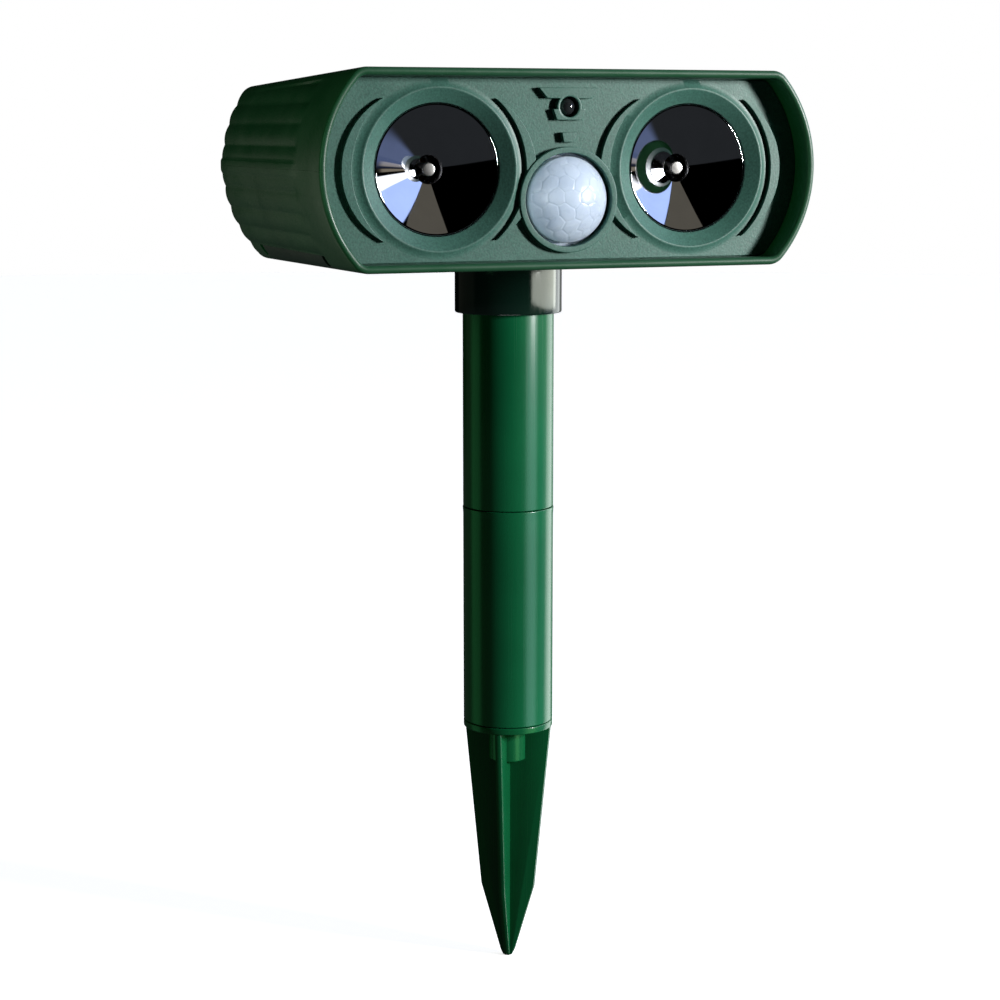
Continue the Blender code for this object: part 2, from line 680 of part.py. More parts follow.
def make_sensor_parts():
    """PIR lens, its retainer and sensor, the LED, and the small board behind the panel."""
    pir = head(0, 0, PIR_Z)
    base = PANEL_FRONT - 0.7
    sphere = (PIR_DOME**2 + PIR_DOME_RISE**2) / (2 * PIR_DOME_RISE)
    centre = base - PIR_DOME_RISE + sphere
    outside = dome_points(sphere, centre, math.asin(PIR_DOME / sphere))
    inside = dome_points(sphere - 1.0, centre, math.asin((PIR_DOME - 1.0) / (sphere - 1.0)))[::-1]
    profile = outside + [(PIR_DOME, 12.8), (16.6, 12.8), (16.6, 13.6), (PIR_DOME - 1.0, 13.6)] + inside
    turned("pir_lens", profile, WHITE, pir, segments=24)
    ring = ((13.0, 13.9), (16.6, 13.9), (16.6, 15.6), (13.0, 15.6))
    turned("pir_retainer", ring, BLACK, pir, segments=28)
    can = ((0, 18.6), (1.8, 18.6), (4.2, 18.6), (4.6, 19.0), (4.6, 22.8), (5.1, 22.8), (5.1, 23.7), (0, 23.7))
    sensor = turned("pir_sensor", can, STEEL, pir, segments=20)
    low, high = Vector((-1.5, 18.0, -2.0)), Vector((1.5, 18.9, 2.0))
    carve(sensor, block("sensor_window", pir + low, pir + high))
    led = head(0, 0, LED_Z)
    radius = 2.9
    rim = [(radius, 12.8), (4.0, 12.8), (4.0, 13.8), (0, 13.8)]
    body = dome_points(radius, LED_TIP + radius, math.pi / 2) + rim
    status_led = turned("status_led", body, LED_DARK, led, segments=20)
    for x in (-1.27, 1.27):
        leg = block(f"led_leg_{x}", led + Vector((x - 0.3, 13.0, -0.3)), led + Vector((x + 0.3, 23.7, 0.3)))
        join(status_led, leg)
    board = block("sensor_board", head(-16.0, 24.0, -27.0), head(16.0, 25.6, 28.0), BOARD)
    for i, (x, height) in enumerate(SENSOR_POSTS):
        place = head(x, 0, height)
        carve(board, rod(f"sensor_board_hole_{i}", 1.4, 20.0, 30.0, origin=place, segments=12))
        name = "sensor_board_screw_" + ("left", "right")[i]
        make_screw(name, head(x, 25.9, height), (0, -1, 0), 2.2, 1.6, 1.0, 8.0)


# ---------------------------------------------------------------- power and controls


def make_solar_parts():
    """The cells and the clear cover over them, both let into the recess in the top."""
    top_plate("solar_panel", SOLAR_X - GAP, (SOLAR_Y[0] + GAP, SOLAR_Y[1] - GAP), 1.5, 2.9, 1.7, SILICON)
    top_plate("solar_cover", SOLAR_X - GAP, (SOLAR_Y[0] + GAP, SOLAR_Y[1] - GAP), 0.1, 1.2, 1.7, GLASS)


def make_battery_holder():
    """Tray over the cells, open underneath, with a boss that takes the door's screw."""
    low = head(HOLDER_X[0], HOLDER_Y[0], HOLDER_Z[0])
    high = head(HOLDER_X[1], HOLDER_Y[1], HOLDER_Z[1])
    inset = Vector((HOLDER_WALL, HOLDER_WALL, 0))
    holder = block("battery_holder", low, high, BLACK)
    below, roof = Vector((0, 0, 5)), Vector((0, 0, HOLDER_WALL))
    pocket = block("cell_pocket", low + inset - below, high - inset - roof)
    x, depth = DOOR_SCREW
    deck = block("holder_deck", head(x - 6, depth - 6, -18.2), head(x + 6, HOLDER_Y[0] + 1, -16.6))
    place = head(x, depth, 0)
    boss = rod("door_boss", 3.2, -29.8, -17.0, origin=place, axis="Z", segments=16)
    pilot = rod("door_pilot", 1.3, -35.0, -18.9, origin=place, axis="Z", segments=12)
    wire_hole = rod("holder_wire_hole", 1.6, -20.0, -10.0, origin=head(-43.2, 80.0, 0), axis="Z", segments=12)
    carve(holder, pocket)
    join(holder, deck, boss)
    return carve(holder, pilot, wire_hole)


def spring_mesh(name, place, finish):
    """Conical contact spring: a round wire swept along a helix about Y."""
    turns, per_turn, sides, wire = 3, 9, 4, 0.4
    start, end = 51.9 + wire, 55.6 - wire
    bm = bmesh.new()
    rings = []
    for i in range(turns * per_turn + 1):
        t = i / (turns * per_turn)
        angle = 2 * math.pi * turns * t
        radius = 5.0 - 2.4 * t
        out = Vector((math.cos(angle), 0, math.sin(angle)))
        centre = out * radius + Vector((0, start + (end - start) * t, 0))
        ring = []
        for k in range(sides):
            around = 2 * math.pi * k / sides
            along = Vector((0, wire * math.sin(around), 0))
            ring.append(bm.verts.new(centre + out * wire * math.cos(around) + along))
        rings.append(ring)
    for near, far in zip(rings, rings[1:]):
        for k in range(sides):
            bm.faces.new((near[k], near[(k + 1) % sides], far[(k + 1) % sides], far[k]))
    bm.faces.new(rings[0])
    bm.faces.new(rings[-1])
    return finish_object(name, bm, finish, place)


def make_batteries():
    front, back = CELL_BODY
    for i, x in enumerate(CELL_XS, start=1):
        place = head(x, 0, CELL_Z)
        profile = (
            (0, front),
            (CELL_RADIUS - 0.5, front),
            (CELL_RADIUS, front + 0.5),
            (CELL_RADIUS, back - 0.6),
            (CELL_RADIUS - 0.9, back),
            (2.75, back),
            (2.75, back + 1.0),
            (0, back + 1.0),
        )
        turned(f"battery_cell_{i}", profile, CELL_WRAP, place, segments=18)
        spring_mesh(f"battery_spring_{i}", place, STEEL)
    block("battery_contact_strip", head(-72.0, 106.9, -26.5), head(-30.0, 107.5, -17.5), STEEL)
    make_screw("battery_door_screw", head(*DOOR_SCREW, -31.6), (0, 0, 1), 2.6, 1.2, 1.0, 9.0)


def make_knob(name, x):
    """Round control knob with a ribbed rim and an index groove; its origin is on its axis."""
    place = head(x, 0, KNOB_Z)
    front, back = POCKET_FLOOR + 0.6, HEAD_DEPTH + 1.6
    ribs = 18
    outline = []
    for i in range(ribs * 2):
        radius = KNOB_RADIUS if i % 2 else KNOB_RADIUS - 0.5
        outline.append((radius * math.cos(math.pi * i / ribs), radius * math.sin(math.pi * i / ribs)))
    sections = []
    for depth, scale in ((front, 1.0), (back - 0.6, 0.97), (back, 0.9)):
        sections.append([(px * scale, depth, pz * scale) for px, pz in outline])
    knob = loft(name, sections, BLACK, place)
    bore = rod(f"{name}_bore", 3.3, 100.0, back - 2.0, origin=place, segments=16)
    low, high = Vector((-0.6, back - 0.7, 2.0)), Vector((0.6, back + 1, 12.0))
    return carve(knob, bore, block(f"{name}_index", place + low, place + high))


def make_potentiometer(name, x):
    place = head(x, 0, KNOB_Z)
    back = BOARD_Y[1] + GAP
    body = rod(name, 8.0, back, POCKET_FLOOR - REAR_WALL - GAP, STEEL, place, segments=20)
    return join(body, rod(f"{name}_shaft", 3.0, back + 2, HEAD_DEPTH - 1.0, origin=place, segments=16))


def make_rear_controls():
    low = head(BOARD_X[0], BOARD_Y[0], -25.0)
    board = block("main_board", low, head(BOARD_X[1], BOARD_Y[1], 25.0), BOARD)
    for i, (x, height) in enumerate(BOARD_POSTS):
        place = head(x, 0, height)
        carve(board, rod(f"main_board_hole_{i}", 1.5, 105.0, 120.0, origin=place, segments=12))
        name = "board_screw_" + ("left", "right")[i]
        make_screw(name, head(x, BOARD_Y[0] - GAP, height), (0, 1, 0), 2.4, 1.7, 1.1, 9.0)
    for name, x in KNOB_XS.items():
        make_potentiometer(f"{name}_potentiometer", x)
        make_knob(f"{name}_knob", x)
    block(
        "power_switch_body",
        head(SWITCH_X - 7, BOARD_Y[1] + GAP, SWITCH_Z - 4),
        head(SWITCH_X + 7, 126.9, SWITCH_Z + 4),
        BLACK,
    )
    rest_x = SWITCH_X - SWITCH_TRAVEL / 2
    slider_at = head(rest_x, 0, SWITCH_Z)
    slider = block("power_switch_slider", (-2.0, 127.2, -1.6), (2.0, HEAD_DEPTH + 1.4, 1.6), BLACK, slider_at)
    for i, x in enumerate((-1.0, 0.6)):
        grip_low = slider_at + Vector((x, HEAD_DEPTH + 1.0, -3.0))
        grip_high = slider_at + Vector((x + 0.4, HEAD_DEPTH + 3.0, 3.0))
        carve(slider, block(f"slider_grip_{i}", grip_low, grip_high))


def make_dc_parts():
    """Barrel socket for a charger, and the rubber cap that swings down from its anchor."""
    place = head(DC_X, 0, DC_Z)
    start, nose = BOARD_Y[1] + GAP, HEAD_DEPTH - 0.6
    profile = (
        (0, start),
        (5.5, start),
        (5.5, 127.0),
        (3.9, 127.0),
        (3.9, nose),
        (2.75, nose),
        (2.75, start + 4),
        (0.95, start + 4),
        (0.95, nose - 1.0),
        (0, nose - 1.0),
    )
    turned("dc_socket", profile, BLACK, place, segments=20)
    hinge = head(DC_X, HEAD_DEPTH + 1.0, CAP_HINGE_Z)
    cap = rod("dc_cap", 5.4, -0.7, 1.1, RUBBER, hinge, segments=24)
    cap.data.transform(Matrix.Translation(Vector((0, 0, DC_Z - CAP_HINGE_Z)) * MM))
    strap = block("cap_strap", hinge + Vector((-1.8, -0.3, -4.0)), hinge + Vector((1.8, 0.5, 0.0)))
    thumb = block("cap_thumb", hinge + Vector((-2.4, 0.0, -14.2)), hinge + Vector((2.4, 1.1, -10.0)))
    join(cap, strap, thumb)
    under, top = HEAD_DEPTH + 0.3, HEAD_DEPTH + 1.6
    stem = ((0, 125.6), (1.0, 125.6), (1.0, under), (2.6, under), (2.6, top), (0, top))
    turned("dc_cap_anchor", stem, RUBBER, head(DC_X, 0, CAP_ANCHOR_Z), segments=20)


def make_leads():
    """Wires inside the head, each ending just short of what it is soldered to."""
    wires = {
        "horn_lead_left": ((-44.85, 46.4, 4), (-42, 58, 6), (-26, 84, 9), (-12, 102, 8), (-8, 111.2, 5)),
        "horn_lead_right": ((44.85, 46.4, 4), (43, 58, 6), (32, 84, 9), (24, 102, 8), (22, 111.2, 5)),
        "battery_lead": ((-43.2, 80, -12), (-41, 84, -7), (-28, 95, -6), (-17, 104, -8), (-15, 111.2, -8)),
        "solar_lead": ((0, 60, 24), (1, 66, 19), (3, 82, 16), (4, 100, 14), (4, 111.2, 12)),
    }
    for name, points in wires.items():
        lead(name, points, 0.8, RED)
    cable = ((0, 26, 4), (0, 34, 3), (2, 60, 0), (6, 92, -3), (8, 111.2, -6))
    lead("sensor_lead", cable, 1.1, BLACK)


# ---------------------------------------------------------------- stake


def make_collar():
    """Glossy neck under the head: a socket for the pole below, a swivel spigot above."""
    profile = (
        (0, SOCKET_ROOF),
        (TUBE_RADIUS + GAP, SOCKET_ROOF),
        (TUBE_RADIUS + GAP, COLLAR_BOTTOM + 0.6),
        (TUBE_RADIUS + GAP + 0.6, COLLAR_BOTTOM),
        (COLLAR_RADIUS - 0.6, COLLAR_BOTTOM),
        (COLLAR_RADIUS, COLLAR_BOTTOM + 0.6),
        (COLLAR_RADIUS, COLLAR_TOP),
        (SWIVEL_RADIUS, COLLAR_TOP),
        (SWIVEL_RADIUS, HEAD_SEAM_Z - 26.4),
        (1.8, HEAD_SEAM_Z - 26.4),
        (1.8, COLLAR_TOP + 0.8),
        (0, COLLAR_TOP + 0.8),
    )
    turned("neck_collar", profile, DARK_GLOSS, axis="Z", segments=36)
    low = HEAD_SEAM_Z - 26.1
    disc = ((2.1, low), (SWIVEL_RADIUS + 3.0, low), (SWIVEL_RADIUS + 3.0, low + 2), (2.1, low + 2))
    turned("swivel_retainer", disc, STEEL, axis="Z", segments=28)
    make_screw("swivel_screw", (0, 0, low + 2 + GAP), (0, 0, -1), 4.0, 2.4, 1.5, 7.5)


def make_tubes():
    """The pole in two lengths; the upper one's spigot pushes into the lower one."""
    upper = (
        (TUBE_BORE, COLLAR_TOP - 4.0),
        (TUBE_RADIUS - 0.8, COLLAR_TOP - 4.0),
        (TUBE_RADIUS, COLLAR_TOP - 4.8),
        (TUBE_RADIUS, TUBE_SEAM + GAP + 0.4),
        (TUBE_RADIUS - 0.4, TUBE_SEAM + GAP),
        (SPIGOT[0], TUBE_SEAM + GAP),
        (SPIGOT[0], TUBE_SEAM - SPIGOT_LENGTH),
        (SPIGOT[1], TUBE_SEAM - SPIGOT_LENGTH),
        (SPIGOT[1], TUBE_SEAM + GAP + 3),
        (TUBE_BORE, TUBE_SEAM + GAP + 6),
    )
    turned("upper_tube", upper, GREEN_GLOSS, axis="Z", segments=36)
    bottom = FLANGE_TOP + GAP
    lower = (
        (TUBE_BORE, TUBE_SEAM),
        (TUBE_RADIUS - 0.2, TUBE_SEAM),
        (TUBE_RADIUS + 0.2, TUBE_SEAM - 0.4),
        (TUBE_RADIUS, bottom + 0.4),
        (TUBE_RADIUS - 0.4, bottom),
        (TUBE_BORE, bottom),
    )
    turned("lower_tube", lower, GREEN_GLOSS, axis="Z", segments=36)


def fin_outline():
    return list(SPIKE_OUTLINE) + [(-x, z) for x, z in reversed(SPIKE_OUTLINE)]


def make_spike():
    """Four-finned ground spike: flange, hub below it, and a plug that the pole pushes onto."""
    profile = (
        (0, HUB_BOTTOM),
        (HUB_RADIUS - 0.3, HUB_BOTTOM),
        (HUB_RADIUS, HUB_BOTTOM + 0.3),
        (HUB_RADIUS, 0.0),
        (TUBE_RADIUS - 0.2, 0.0),
        (TUBE_RADIUS, 0.3),
        (TUBE_RADIUS, FLANGE_TOP - 0.4),
        (TUBE_RADIUS - 0.4, FLANGE_TOP),
        (SPIGOT[0], FLANGE_TOP),
        (SPIGOT[0], FLANGE_TOP + SPIGOT_LENGTH),
        (SPIGOT[1], FLANGE_TOP + SPIGOT_LENGTH),
        (SPIGOT[1], FLANGE_TOP + 1.0),
        (0, FLANGE_TOP + 1.0),
    )
    spike = turned("ground_spike", profile, GREEN_GLOSS, axis="Z", segments=36)
    for i in range(2):
        sections = [[(x, y, z) for x, z in fin_outline()] for y in (-FIN / 2, FIN / 2)]
        fin = loft(f"fin_pair_{i}", sections, turn=(0, 0, math.pi / 2 * (i + 1) - SPIKE_TURN))
        join(spike, fin)
    return spike


def main():
    clear_scene()
    make_spike()
    make_tubes()
    make_collar()
    cavity = head_cavity()
    make_upper_shell(cavity)
    make_lower_shell(cavity)
    make_battery_door(cavity)
    make_front_panel()
    make_housing_screws()
    for label, sign in (("left", -1), ("right", 1)):
        make_horn_parts(label, sign)
    make_sensor_parts()
    make_solar_parts()
    make_battery_holder()
    make_batteries()
    make_rear_controls()
    make_dc_parts()
    make_leads()


main()
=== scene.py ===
"""Looks of the solar ultrasonic pest repeller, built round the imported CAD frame.

Pieces are built in millimetres in the row frame and scaled to metres as they are made. A place in
the head is given by its x, its depth behind the bezel's front edge and its height above the seam
between the two shells.
"""

import json
import math

import bmesh
import bpy
from mathutils import Matrix, Vector


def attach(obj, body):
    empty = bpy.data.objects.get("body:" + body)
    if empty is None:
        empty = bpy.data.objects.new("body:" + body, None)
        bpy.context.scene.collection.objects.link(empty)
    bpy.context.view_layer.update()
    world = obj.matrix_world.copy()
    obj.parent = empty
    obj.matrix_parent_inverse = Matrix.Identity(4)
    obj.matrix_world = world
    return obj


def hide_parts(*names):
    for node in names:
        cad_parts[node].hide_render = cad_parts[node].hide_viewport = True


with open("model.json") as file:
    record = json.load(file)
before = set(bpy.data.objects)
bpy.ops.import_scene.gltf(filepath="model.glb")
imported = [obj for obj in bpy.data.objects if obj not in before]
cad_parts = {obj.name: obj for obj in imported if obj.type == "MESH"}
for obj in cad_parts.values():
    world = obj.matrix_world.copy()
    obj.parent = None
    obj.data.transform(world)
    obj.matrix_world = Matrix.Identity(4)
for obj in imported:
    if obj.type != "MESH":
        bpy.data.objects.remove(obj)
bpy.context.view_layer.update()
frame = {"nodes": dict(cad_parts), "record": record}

MM = 0.001
GAP = 0.3

# Head, in millimetres, as in the CAD model
SEAM_Z = 203.1
FRONT_Y = -63.1
HALF_WIDTH = 87.8
HALF_HEIGHT = 32.5
HEAD_DEPTH = 130.0
TOP_FALL = 3.9
BOTTOM_FALL = 1.9
SIDE_RADIUS = 46.0
CORNER_RADIUS = 6.5
WALL = 2.8
LIP = 2.6
FLUTE_START = 27.0
FLUTE_DEPTH = 0.65
FLUTE_PITCH = 7.6
SEAM_GAP = 0.04
SEAM_RIB = 2.0
TONGUE = (0.9, 1.7)
TONGUE_RISE = 1.0
TONGUE_RUNS = ((1.5, 9.6), (13.5, 126.0))
PANEL_FRONT = 9.3
PANEL_BACK = 12.5
PANEL_RIM = 0.25  # rounding of the panel's front edge
GROOVE = (10.3, 12.8)
GROOVE_INSET = 1.3
HORN_X = 44.85
HORN_MOUTH = 21.6
RING_CREST = 26.4
RING_FOOT = 29.2
RING_RISE = 1.4
BEVEL_DEPTH = 1.5
CRESCENT_INNER = 29.9
CRESCENT_OUTER = 25.6
CRESCENT_SHIFT = 7.8
CRESCENT_RISE = 1.7
PIR_Z = -10.0
PIR_HOLE = 15.4
PIR_COLLAR = 17.4
PIR_DOME = 14.2
PIR_DOME_RISE = 7.8
DOME_BASE = PANEL_FRONT - 0.7
DOME_SPHERE = (PIR_DOME**2 + PIR_DOME_RISE**2) / (2 * PIR_DOME_RISE)
DOME_CENTRE = DOME_BASE - PIR_DOME_RISE + DOME_SPHERE
DOME_RINGS = 72
DOME_SPOKES = 216
COLLAR_RISE = 2.2
BAR_RISE = 2.2
BARS = ((24.75, 3.5, 21.4, 15.8), (17.8, 3.6, 11.5, 9.0), (10.4, 3.2, 5.3, 4.0))
LED_Z = 20.3
LED_HOLE = 3.35
LED_BOSS = 4.4
LED_BOSS_RISE = 2.2
LED_TIP = 7.3
LED_RADIUS = 2.9
LED_RIM = (4.0, 12.8, 13.8)  # radius, front and back
LEG_X = 1.27
LEG_END = 23.7
LENS_RIM = (16.6, 12.8, 13.6)
LENS_CELL = 3.25
LENS_RELIEF = 0.12
LENS_WALL = 1.0
HORN_FRONT = 11.2
HORN_LIP = 20.7
HORN_SLEEVE = 21.3
HORN_FLANGE = (25.0, 13.6, 15.2)  # radius, front and back
CONE_END = (4.8, 19.83)  # radius and depth
THROAT_RADIUS = 4.2
THROAT_FLANGE = (9.0, 28.5, 33.0)  # radius, front and back
HORN_WALL = 1.6
PIN_TIP = 19.3
PIN_RADIUS = 2.2
PIN_PLATE = (7.2, 33.5, 34.7)  # radius, front and back
PORT_RADIUS = 1.7
PORT_CIRCLE = 4.7
DOOR_Y = (31.0, 113.0)
DOOR_X = -24.0
DOOR_TOP = -28.3
DOOR_SCREW = (-50.0, 41.0)
DOOR_SCREW_SEAT = -31.3
NOTCH_X = (-90.0, -74.5)
NOTCH_Z = (-33.5, -28.0)
DOOR_SCREW_RADII = (1.5, 3.0)  # of the hole and of its recess
KNOBS = {"sensitivity": 6.0, "frequency": 38.0}
KNOB_Z = 14.0
KNOB_RADIUS = 9.5
KNOB_FLUTES = 18
KNOB_BORE = 3.3
KNOB_POCKET = 11.5
POCKET_FLOOR = 124.0
POCKET_WALL = 1.6
SHAFT_HOLE = 3.4
SWITCH = (38.0, -15.0)
SWITCH_SLOT = (4.6, 2.0)  # half its size across and up
DC = (6.0, -15.0)
DC_HOLE = 4.2
CAP_ANCHOR_HOLE = 1.3
CAP_ANCHOR_Z = -4.7
POST_RADIUS = 4.4
POST_BOTTOM = -32.2
SCREW_HEAD_HOLE = 3.2
HOUSING_SCREWS = ((-69.0, 26.0), (69.0, 26.0), (-69.0, 120.0), (69.0, 120.0))
SOLAR_X = 47.0
SOLAR_Y = (34.0, 102.0)
SOLAR_RECESS = 3.2
SOLAR_CORNER = 1.7
CELLS_DEPTHS = (1.5, 2.9)  # top and bottom, below the shell's surface
COVER_DEPTHS = (0.1, 1.2)

# Pole and spike, in millimetres
TUBE_RADIUS = 16.3
TUBE_BORE = 14.0
SPIGOT = (13.6, 11.4)
SPIGOT_LENGTH = 20.0
FLANGE_TOP = 2.4
TUBE_SEAM = 81.7
COLLAR_RADIUS = 19.1
COLLAR_BOTTOM = 151.9
COLLAR_TOP = 169.1
SOCKET_ROOF = 167.4
SWIVEL_RADIUS = 12.0
SWIVEL_TOP = 26.4  # below the seam
PILOT_RADIUS = 1.8
SPIKE_TURN = math.radians(34.5)
FIN = 2.2
SPIKE_OUTLINE = ((16.0, 1.0), (16.0, 0.0), (10.0, -61.7), (2.6, -87.0), (1.6, -89.0))
HUB_RADIUS = 6.85
HUB_BOTTOM = -12.9

# Camera, in metres and degrees
CAMERA_AT = (-0.2832, -0.7334, 0.2163)
CAMERA_TURN = 20.9
CAMERA_FALL = 9.58
CAMERA_LENS = 79.2


def head(x, depth, height):
    return Vector((x, FRONT_Y + depth, SEAM_Z + height))


# ---------------------------------------------------------------- meshes


def finish_mesh(name, bm, smooth=35.0):
    """Turns a bmesh in millimetres into an object in metres with smooth faces and sharp edges."""
    bmesh.ops.remove_doubles(bm, verts=bm.verts, dist=1e-4)
    bmesh.ops.recalc_face_normals(bm, faces=bm.faces)
    bmesh.ops.scale(bm, vec=(MM, MM, MM), verts=bm.verts)
    mesh = bpy.data.meshes.new(name)
    bm.to_mesh(mesh)
    bm.free()
    mesh.shade_smooth()
    mesh.set_sharp_from_angle(angle=math.radians(smooth))
    obj = bpy.data.objects.new(name, mesh)
    bpy.context.scene.collection.objects.link(obj)
    return obj


def loft(name, sections, smooth=35.0):
    """Closed solid through sections with the same number of points each."""
    bm = bmesh.new()
    rings = [[bm.verts.new(point) for point in section] for section in sections]
    for near, far in zip(rings, rings[1:]):
        for i in range(len(near)):
            j = (i + 1) % len(near)
            bm.faces.new((near[i], near[j], far[j], far[i]))
    bm.faces.new(rings[0])
    bm.faces.new(rings[-1])
    return finish_mesh(name, bm, smooth)


def on_axis(axis, across, up, along):
    return {"X": (along, across, up), "Y": (across, along, up), "Z": (across, up, along)}[axis]


def turned(name, profile, origin=(0, 0, 0), axis="Y", segments=96, smooth=35.0):
    """Closed solid turned from a closed (radius, distance along axis) profile."""
    bm = bmesh.new()
    rings = []
    for radius, along in profile:
        count = segments if radius > 0 else 1
        angles = [2 * math.pi * i / count for i in range(count)]
        places = [on_axis(axis, radius * math.cos(a), radius * math.sin(a), along) for a in angles]
        rings.append([bm.verts.new(Vector(place) + Vector(origin)) for place in places])
    for near, far in zip(rings, rings[1:] + rings[:1]):
        count = max(len(near), len(far))
        if count == 1:
            continue
        for i in range(count):
            j = (i + 1) % count
            corners = [near[i % len(near)], near[j % len(near)], far[j % len(far)], far[i % len(far)]]
            bm.faces.new(list(dict.fromkeys(corners)))
    return finish_mesh(name, bm, smooth)


def rounded(profile, radii, steps=4):
    """The closed profile with the corners named in radii (index: radius) rounded off."""
    out = []
    count = len(profile)
    for i, corner in enumerate(profile):
        radius = radii.get(i, 0.0)
        if not radius:
            out.append(tuple(corner))
            continue
        p = Vector(corner)
        before = (Vector(profile[i - 1]) - p).normalized()
        after = (Vector(profile[(i + 1) % count]) - p).normalized()
        for k in range(steps + 1):
            t = k / steps
            a, b = p + before * radius, p + after * radius
            out.append(tuple((1 - t) ** 2 * a + 2 * t * (1 - t) * p + t**2 * b))
    return out


def rod(name, radius, start, end, origin=(0, 0, 0), axis="Y", segments=48):
    return turned(name, ((0, start), (radius, start), (radius, end), (0, end)), origin, axis, segments)


def block(name, low, high):
    corners = [(low[0], low[2]), (high[0], low[2]), (high[0], high[2]), (low[0], high[2])]
    return loft(name, [[(x, y, z) for x, z in corners] for y in (low[1], high[1])])


def arc(centre, radius, start, end, steps):
    return [
        (
            centre[0] + radius * math.cos(start + (end - start) * i / steps),
            centre[1] + radius * math.sin(start + (end - start) * i / steps),
        )
        for i in range(steps + 1)
    ]


def settle(obj, smooth=35.0):
    """Replaces the object's mesh with its evaluated one and drops its modifiers."""
    graph = bpy.context.evaluated_depsgraph_get()
    mesh = bpy.data.meshes.new_from_object(obj.evaluated_get(graph))
    obj.modifiers.clear()
    obj.data = mesh
    mesh.shade_smooth()
    mesh.set_sharp_from_angle(angle=math.radians(smooth))
    return obj


def boolean(obj, operation, *others, solver="EXACT"):
    """Cuts the others from the object, joins them to it, or keeps what they share, for good."""
    for other in others:
        modifier = obj.modifiers.new("boolean", "BOOLEAN")
        modifier.operation = operation
        modifier.solver = solver
        modifier.object = other
    settle(obj)
    for other in others:
        bpy.data.objects.remove(other, do_unlink=True)
    return obj


def soften(obj, width, segments=2, angle=40.0):
    """Rounds the object's sharp edges."""
    modifier = obj.modifiers.new("bevel", "BEVEL")
    modifier.width = width * MM
    modifier.segments = segments
    modifier.limit_method = "ANGLE"
    modifier.angle_limit = math.radians(angle)
    modifier.use_clamp_overlap = True
    return settle(obj)


def place(obj, body, slot, *nodes):
    """Gives the piece its material and body, and hides the CAD nodes it stands in for."""
    obj.data.materials.clear()
    obj.data.materials.append(MATERIALS[slot])
    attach(obj, body)
    if nodes:
        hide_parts(*nodes)
    return obj


# ---------------------------------------------------------------- materials


class Tree:
    """Short ways to build a node tree."""

    def __init__(self, tree):
        self.tree = tree

    def add(self, kind, inputs=(), **settings):
        """New node; inputs are sockets to link or values to set, by their name or number."""
        node = self.tree.nodes.new("ShaderNode" + kind)
        for name, value in settings.items():
            setattr(node, name, value)
        for name, value in dict(inputs).items():
            if isinstance(value, bpy.types.NodeSocket):
                self.tree.links.new(value, node.inputs[name])
            else:
                node.inputs[name].default_value = value
        return node

    def math(self, operation, a, b=0.0):
        return self.add("Math", {0: a, 1: b}, operation=operation).outputs["Value"]


class Nodes(Tree):
    """Short ways to build one material's node tree."""

    def __init__(self, name):
        self.material = bpy.data.materials.new(name)
        self.material.use_nodes = True
        super().__init__(self.material.node_tree)
        self.shader = self.tree.nodes["Principled BSDF"]
        self.place = self.tree.nodes.new("ShaderNodeTexCoord").outputs["Object"]

    def put(self, **values):
        for name, value in values.items():
            self.shader.inputs[name.replace("_", " ")].default_value = value

    def link(self, out, name):
        self.tree.links.new(out, self.shader.inputs[name])

    def stretched(self, scale):
        return self.add("Mapping", {"Vector": self.place, "Scale": scale}).outputs["Vector"]

    def noise(self, scale, detail=3.0, rough=0.55, vector=None):
        inputs = {"Vector": vector or self.place, "Scale": scale, "Detail": detail, "Roughness": rough}
        return self.add("TexNoise", inputs).outputs["Fac"]

    def ramp(self, factor, *stops):
        """stops are (position, colour) pairs."""
        node = self.add("ValToRGB", {"Fac": factor})
        elements = node.color_ramp.elements
        while len(elements) < len(stops):
            elements.new(0.5)
        for element, (position, colour) in zip(elements, stops):
            element.position = position
            element.color = (*colour, 1.0) if len(colour) == 3 else colour
        return node.outputs["Color"]

    def range(self, value, low, high, source=(0.0, 1.0)):
        inputs = {"Value": value, "From Min": source[0], "From Max": source[1], "To Min": low, "To Max": high}
        return self.add("MapRange", inputs).outputs["Result"]

    def bump(self, height, strength, distance):
        inputs = {"Height": height, "Strength": strength, "Distance": distance}
        self.link(self.add("Bump", inputs).outputs["Normal"], "Normal")


def shade(colour, factor):
    return tuple(c * factor for c in colour)


def moulded(name, colour, roughness, spread=0.12, grain=1500.0, depth=0.00006, strength=0.5, mottle=0.25):
    """Moulded plastic with a spark-eroded grain, a slow drift of colour and uneven gloss."""
    n = Nodes(name)
    fine = n.noise(grain, 2.0)
    slow = n.noise(28.0, 4.0)
    mixed = n.math("ADD", n.math("MULTIPLY", fine, mottle), n.math("MULTIPLY", slow, 1.0 - mottle))
    n.link(n.ramp(mixed, (0.32, shade(colour, 1 - spread)), (0.68, shade(colour, 1 + spread))), "Base Color")
    n.link(n.range(n.noise(90.0, 4.0), roughness - 0.07, roughness + 0.07, (0.3, 0.7)), "Roughness")
    n.bump(fine, strength, depth)
    return n


def extruded(name, colour, roughness, streak):
    """Glossy plastic with the faint lengthwise flow lines of a drawn tube."""
    n = Nodes(name)
    lines = n.noise(1.0, 3.0, vector=n.stretched((950.0, 950.0, 9.0)))
    slow = n.noise(22.0, 3.0)
    n.link(n.ramp(slow, (0.3, shade(colour, 0.88)), (0.7, shade(colour, 1.12))), "Base Color")
    n.link(n.range(lines, roughness - 0.04, roughness + 0.05, (0.3, 0.7)), "Roughness")
    n.bump(lines, streak, 0.00002)
    return n


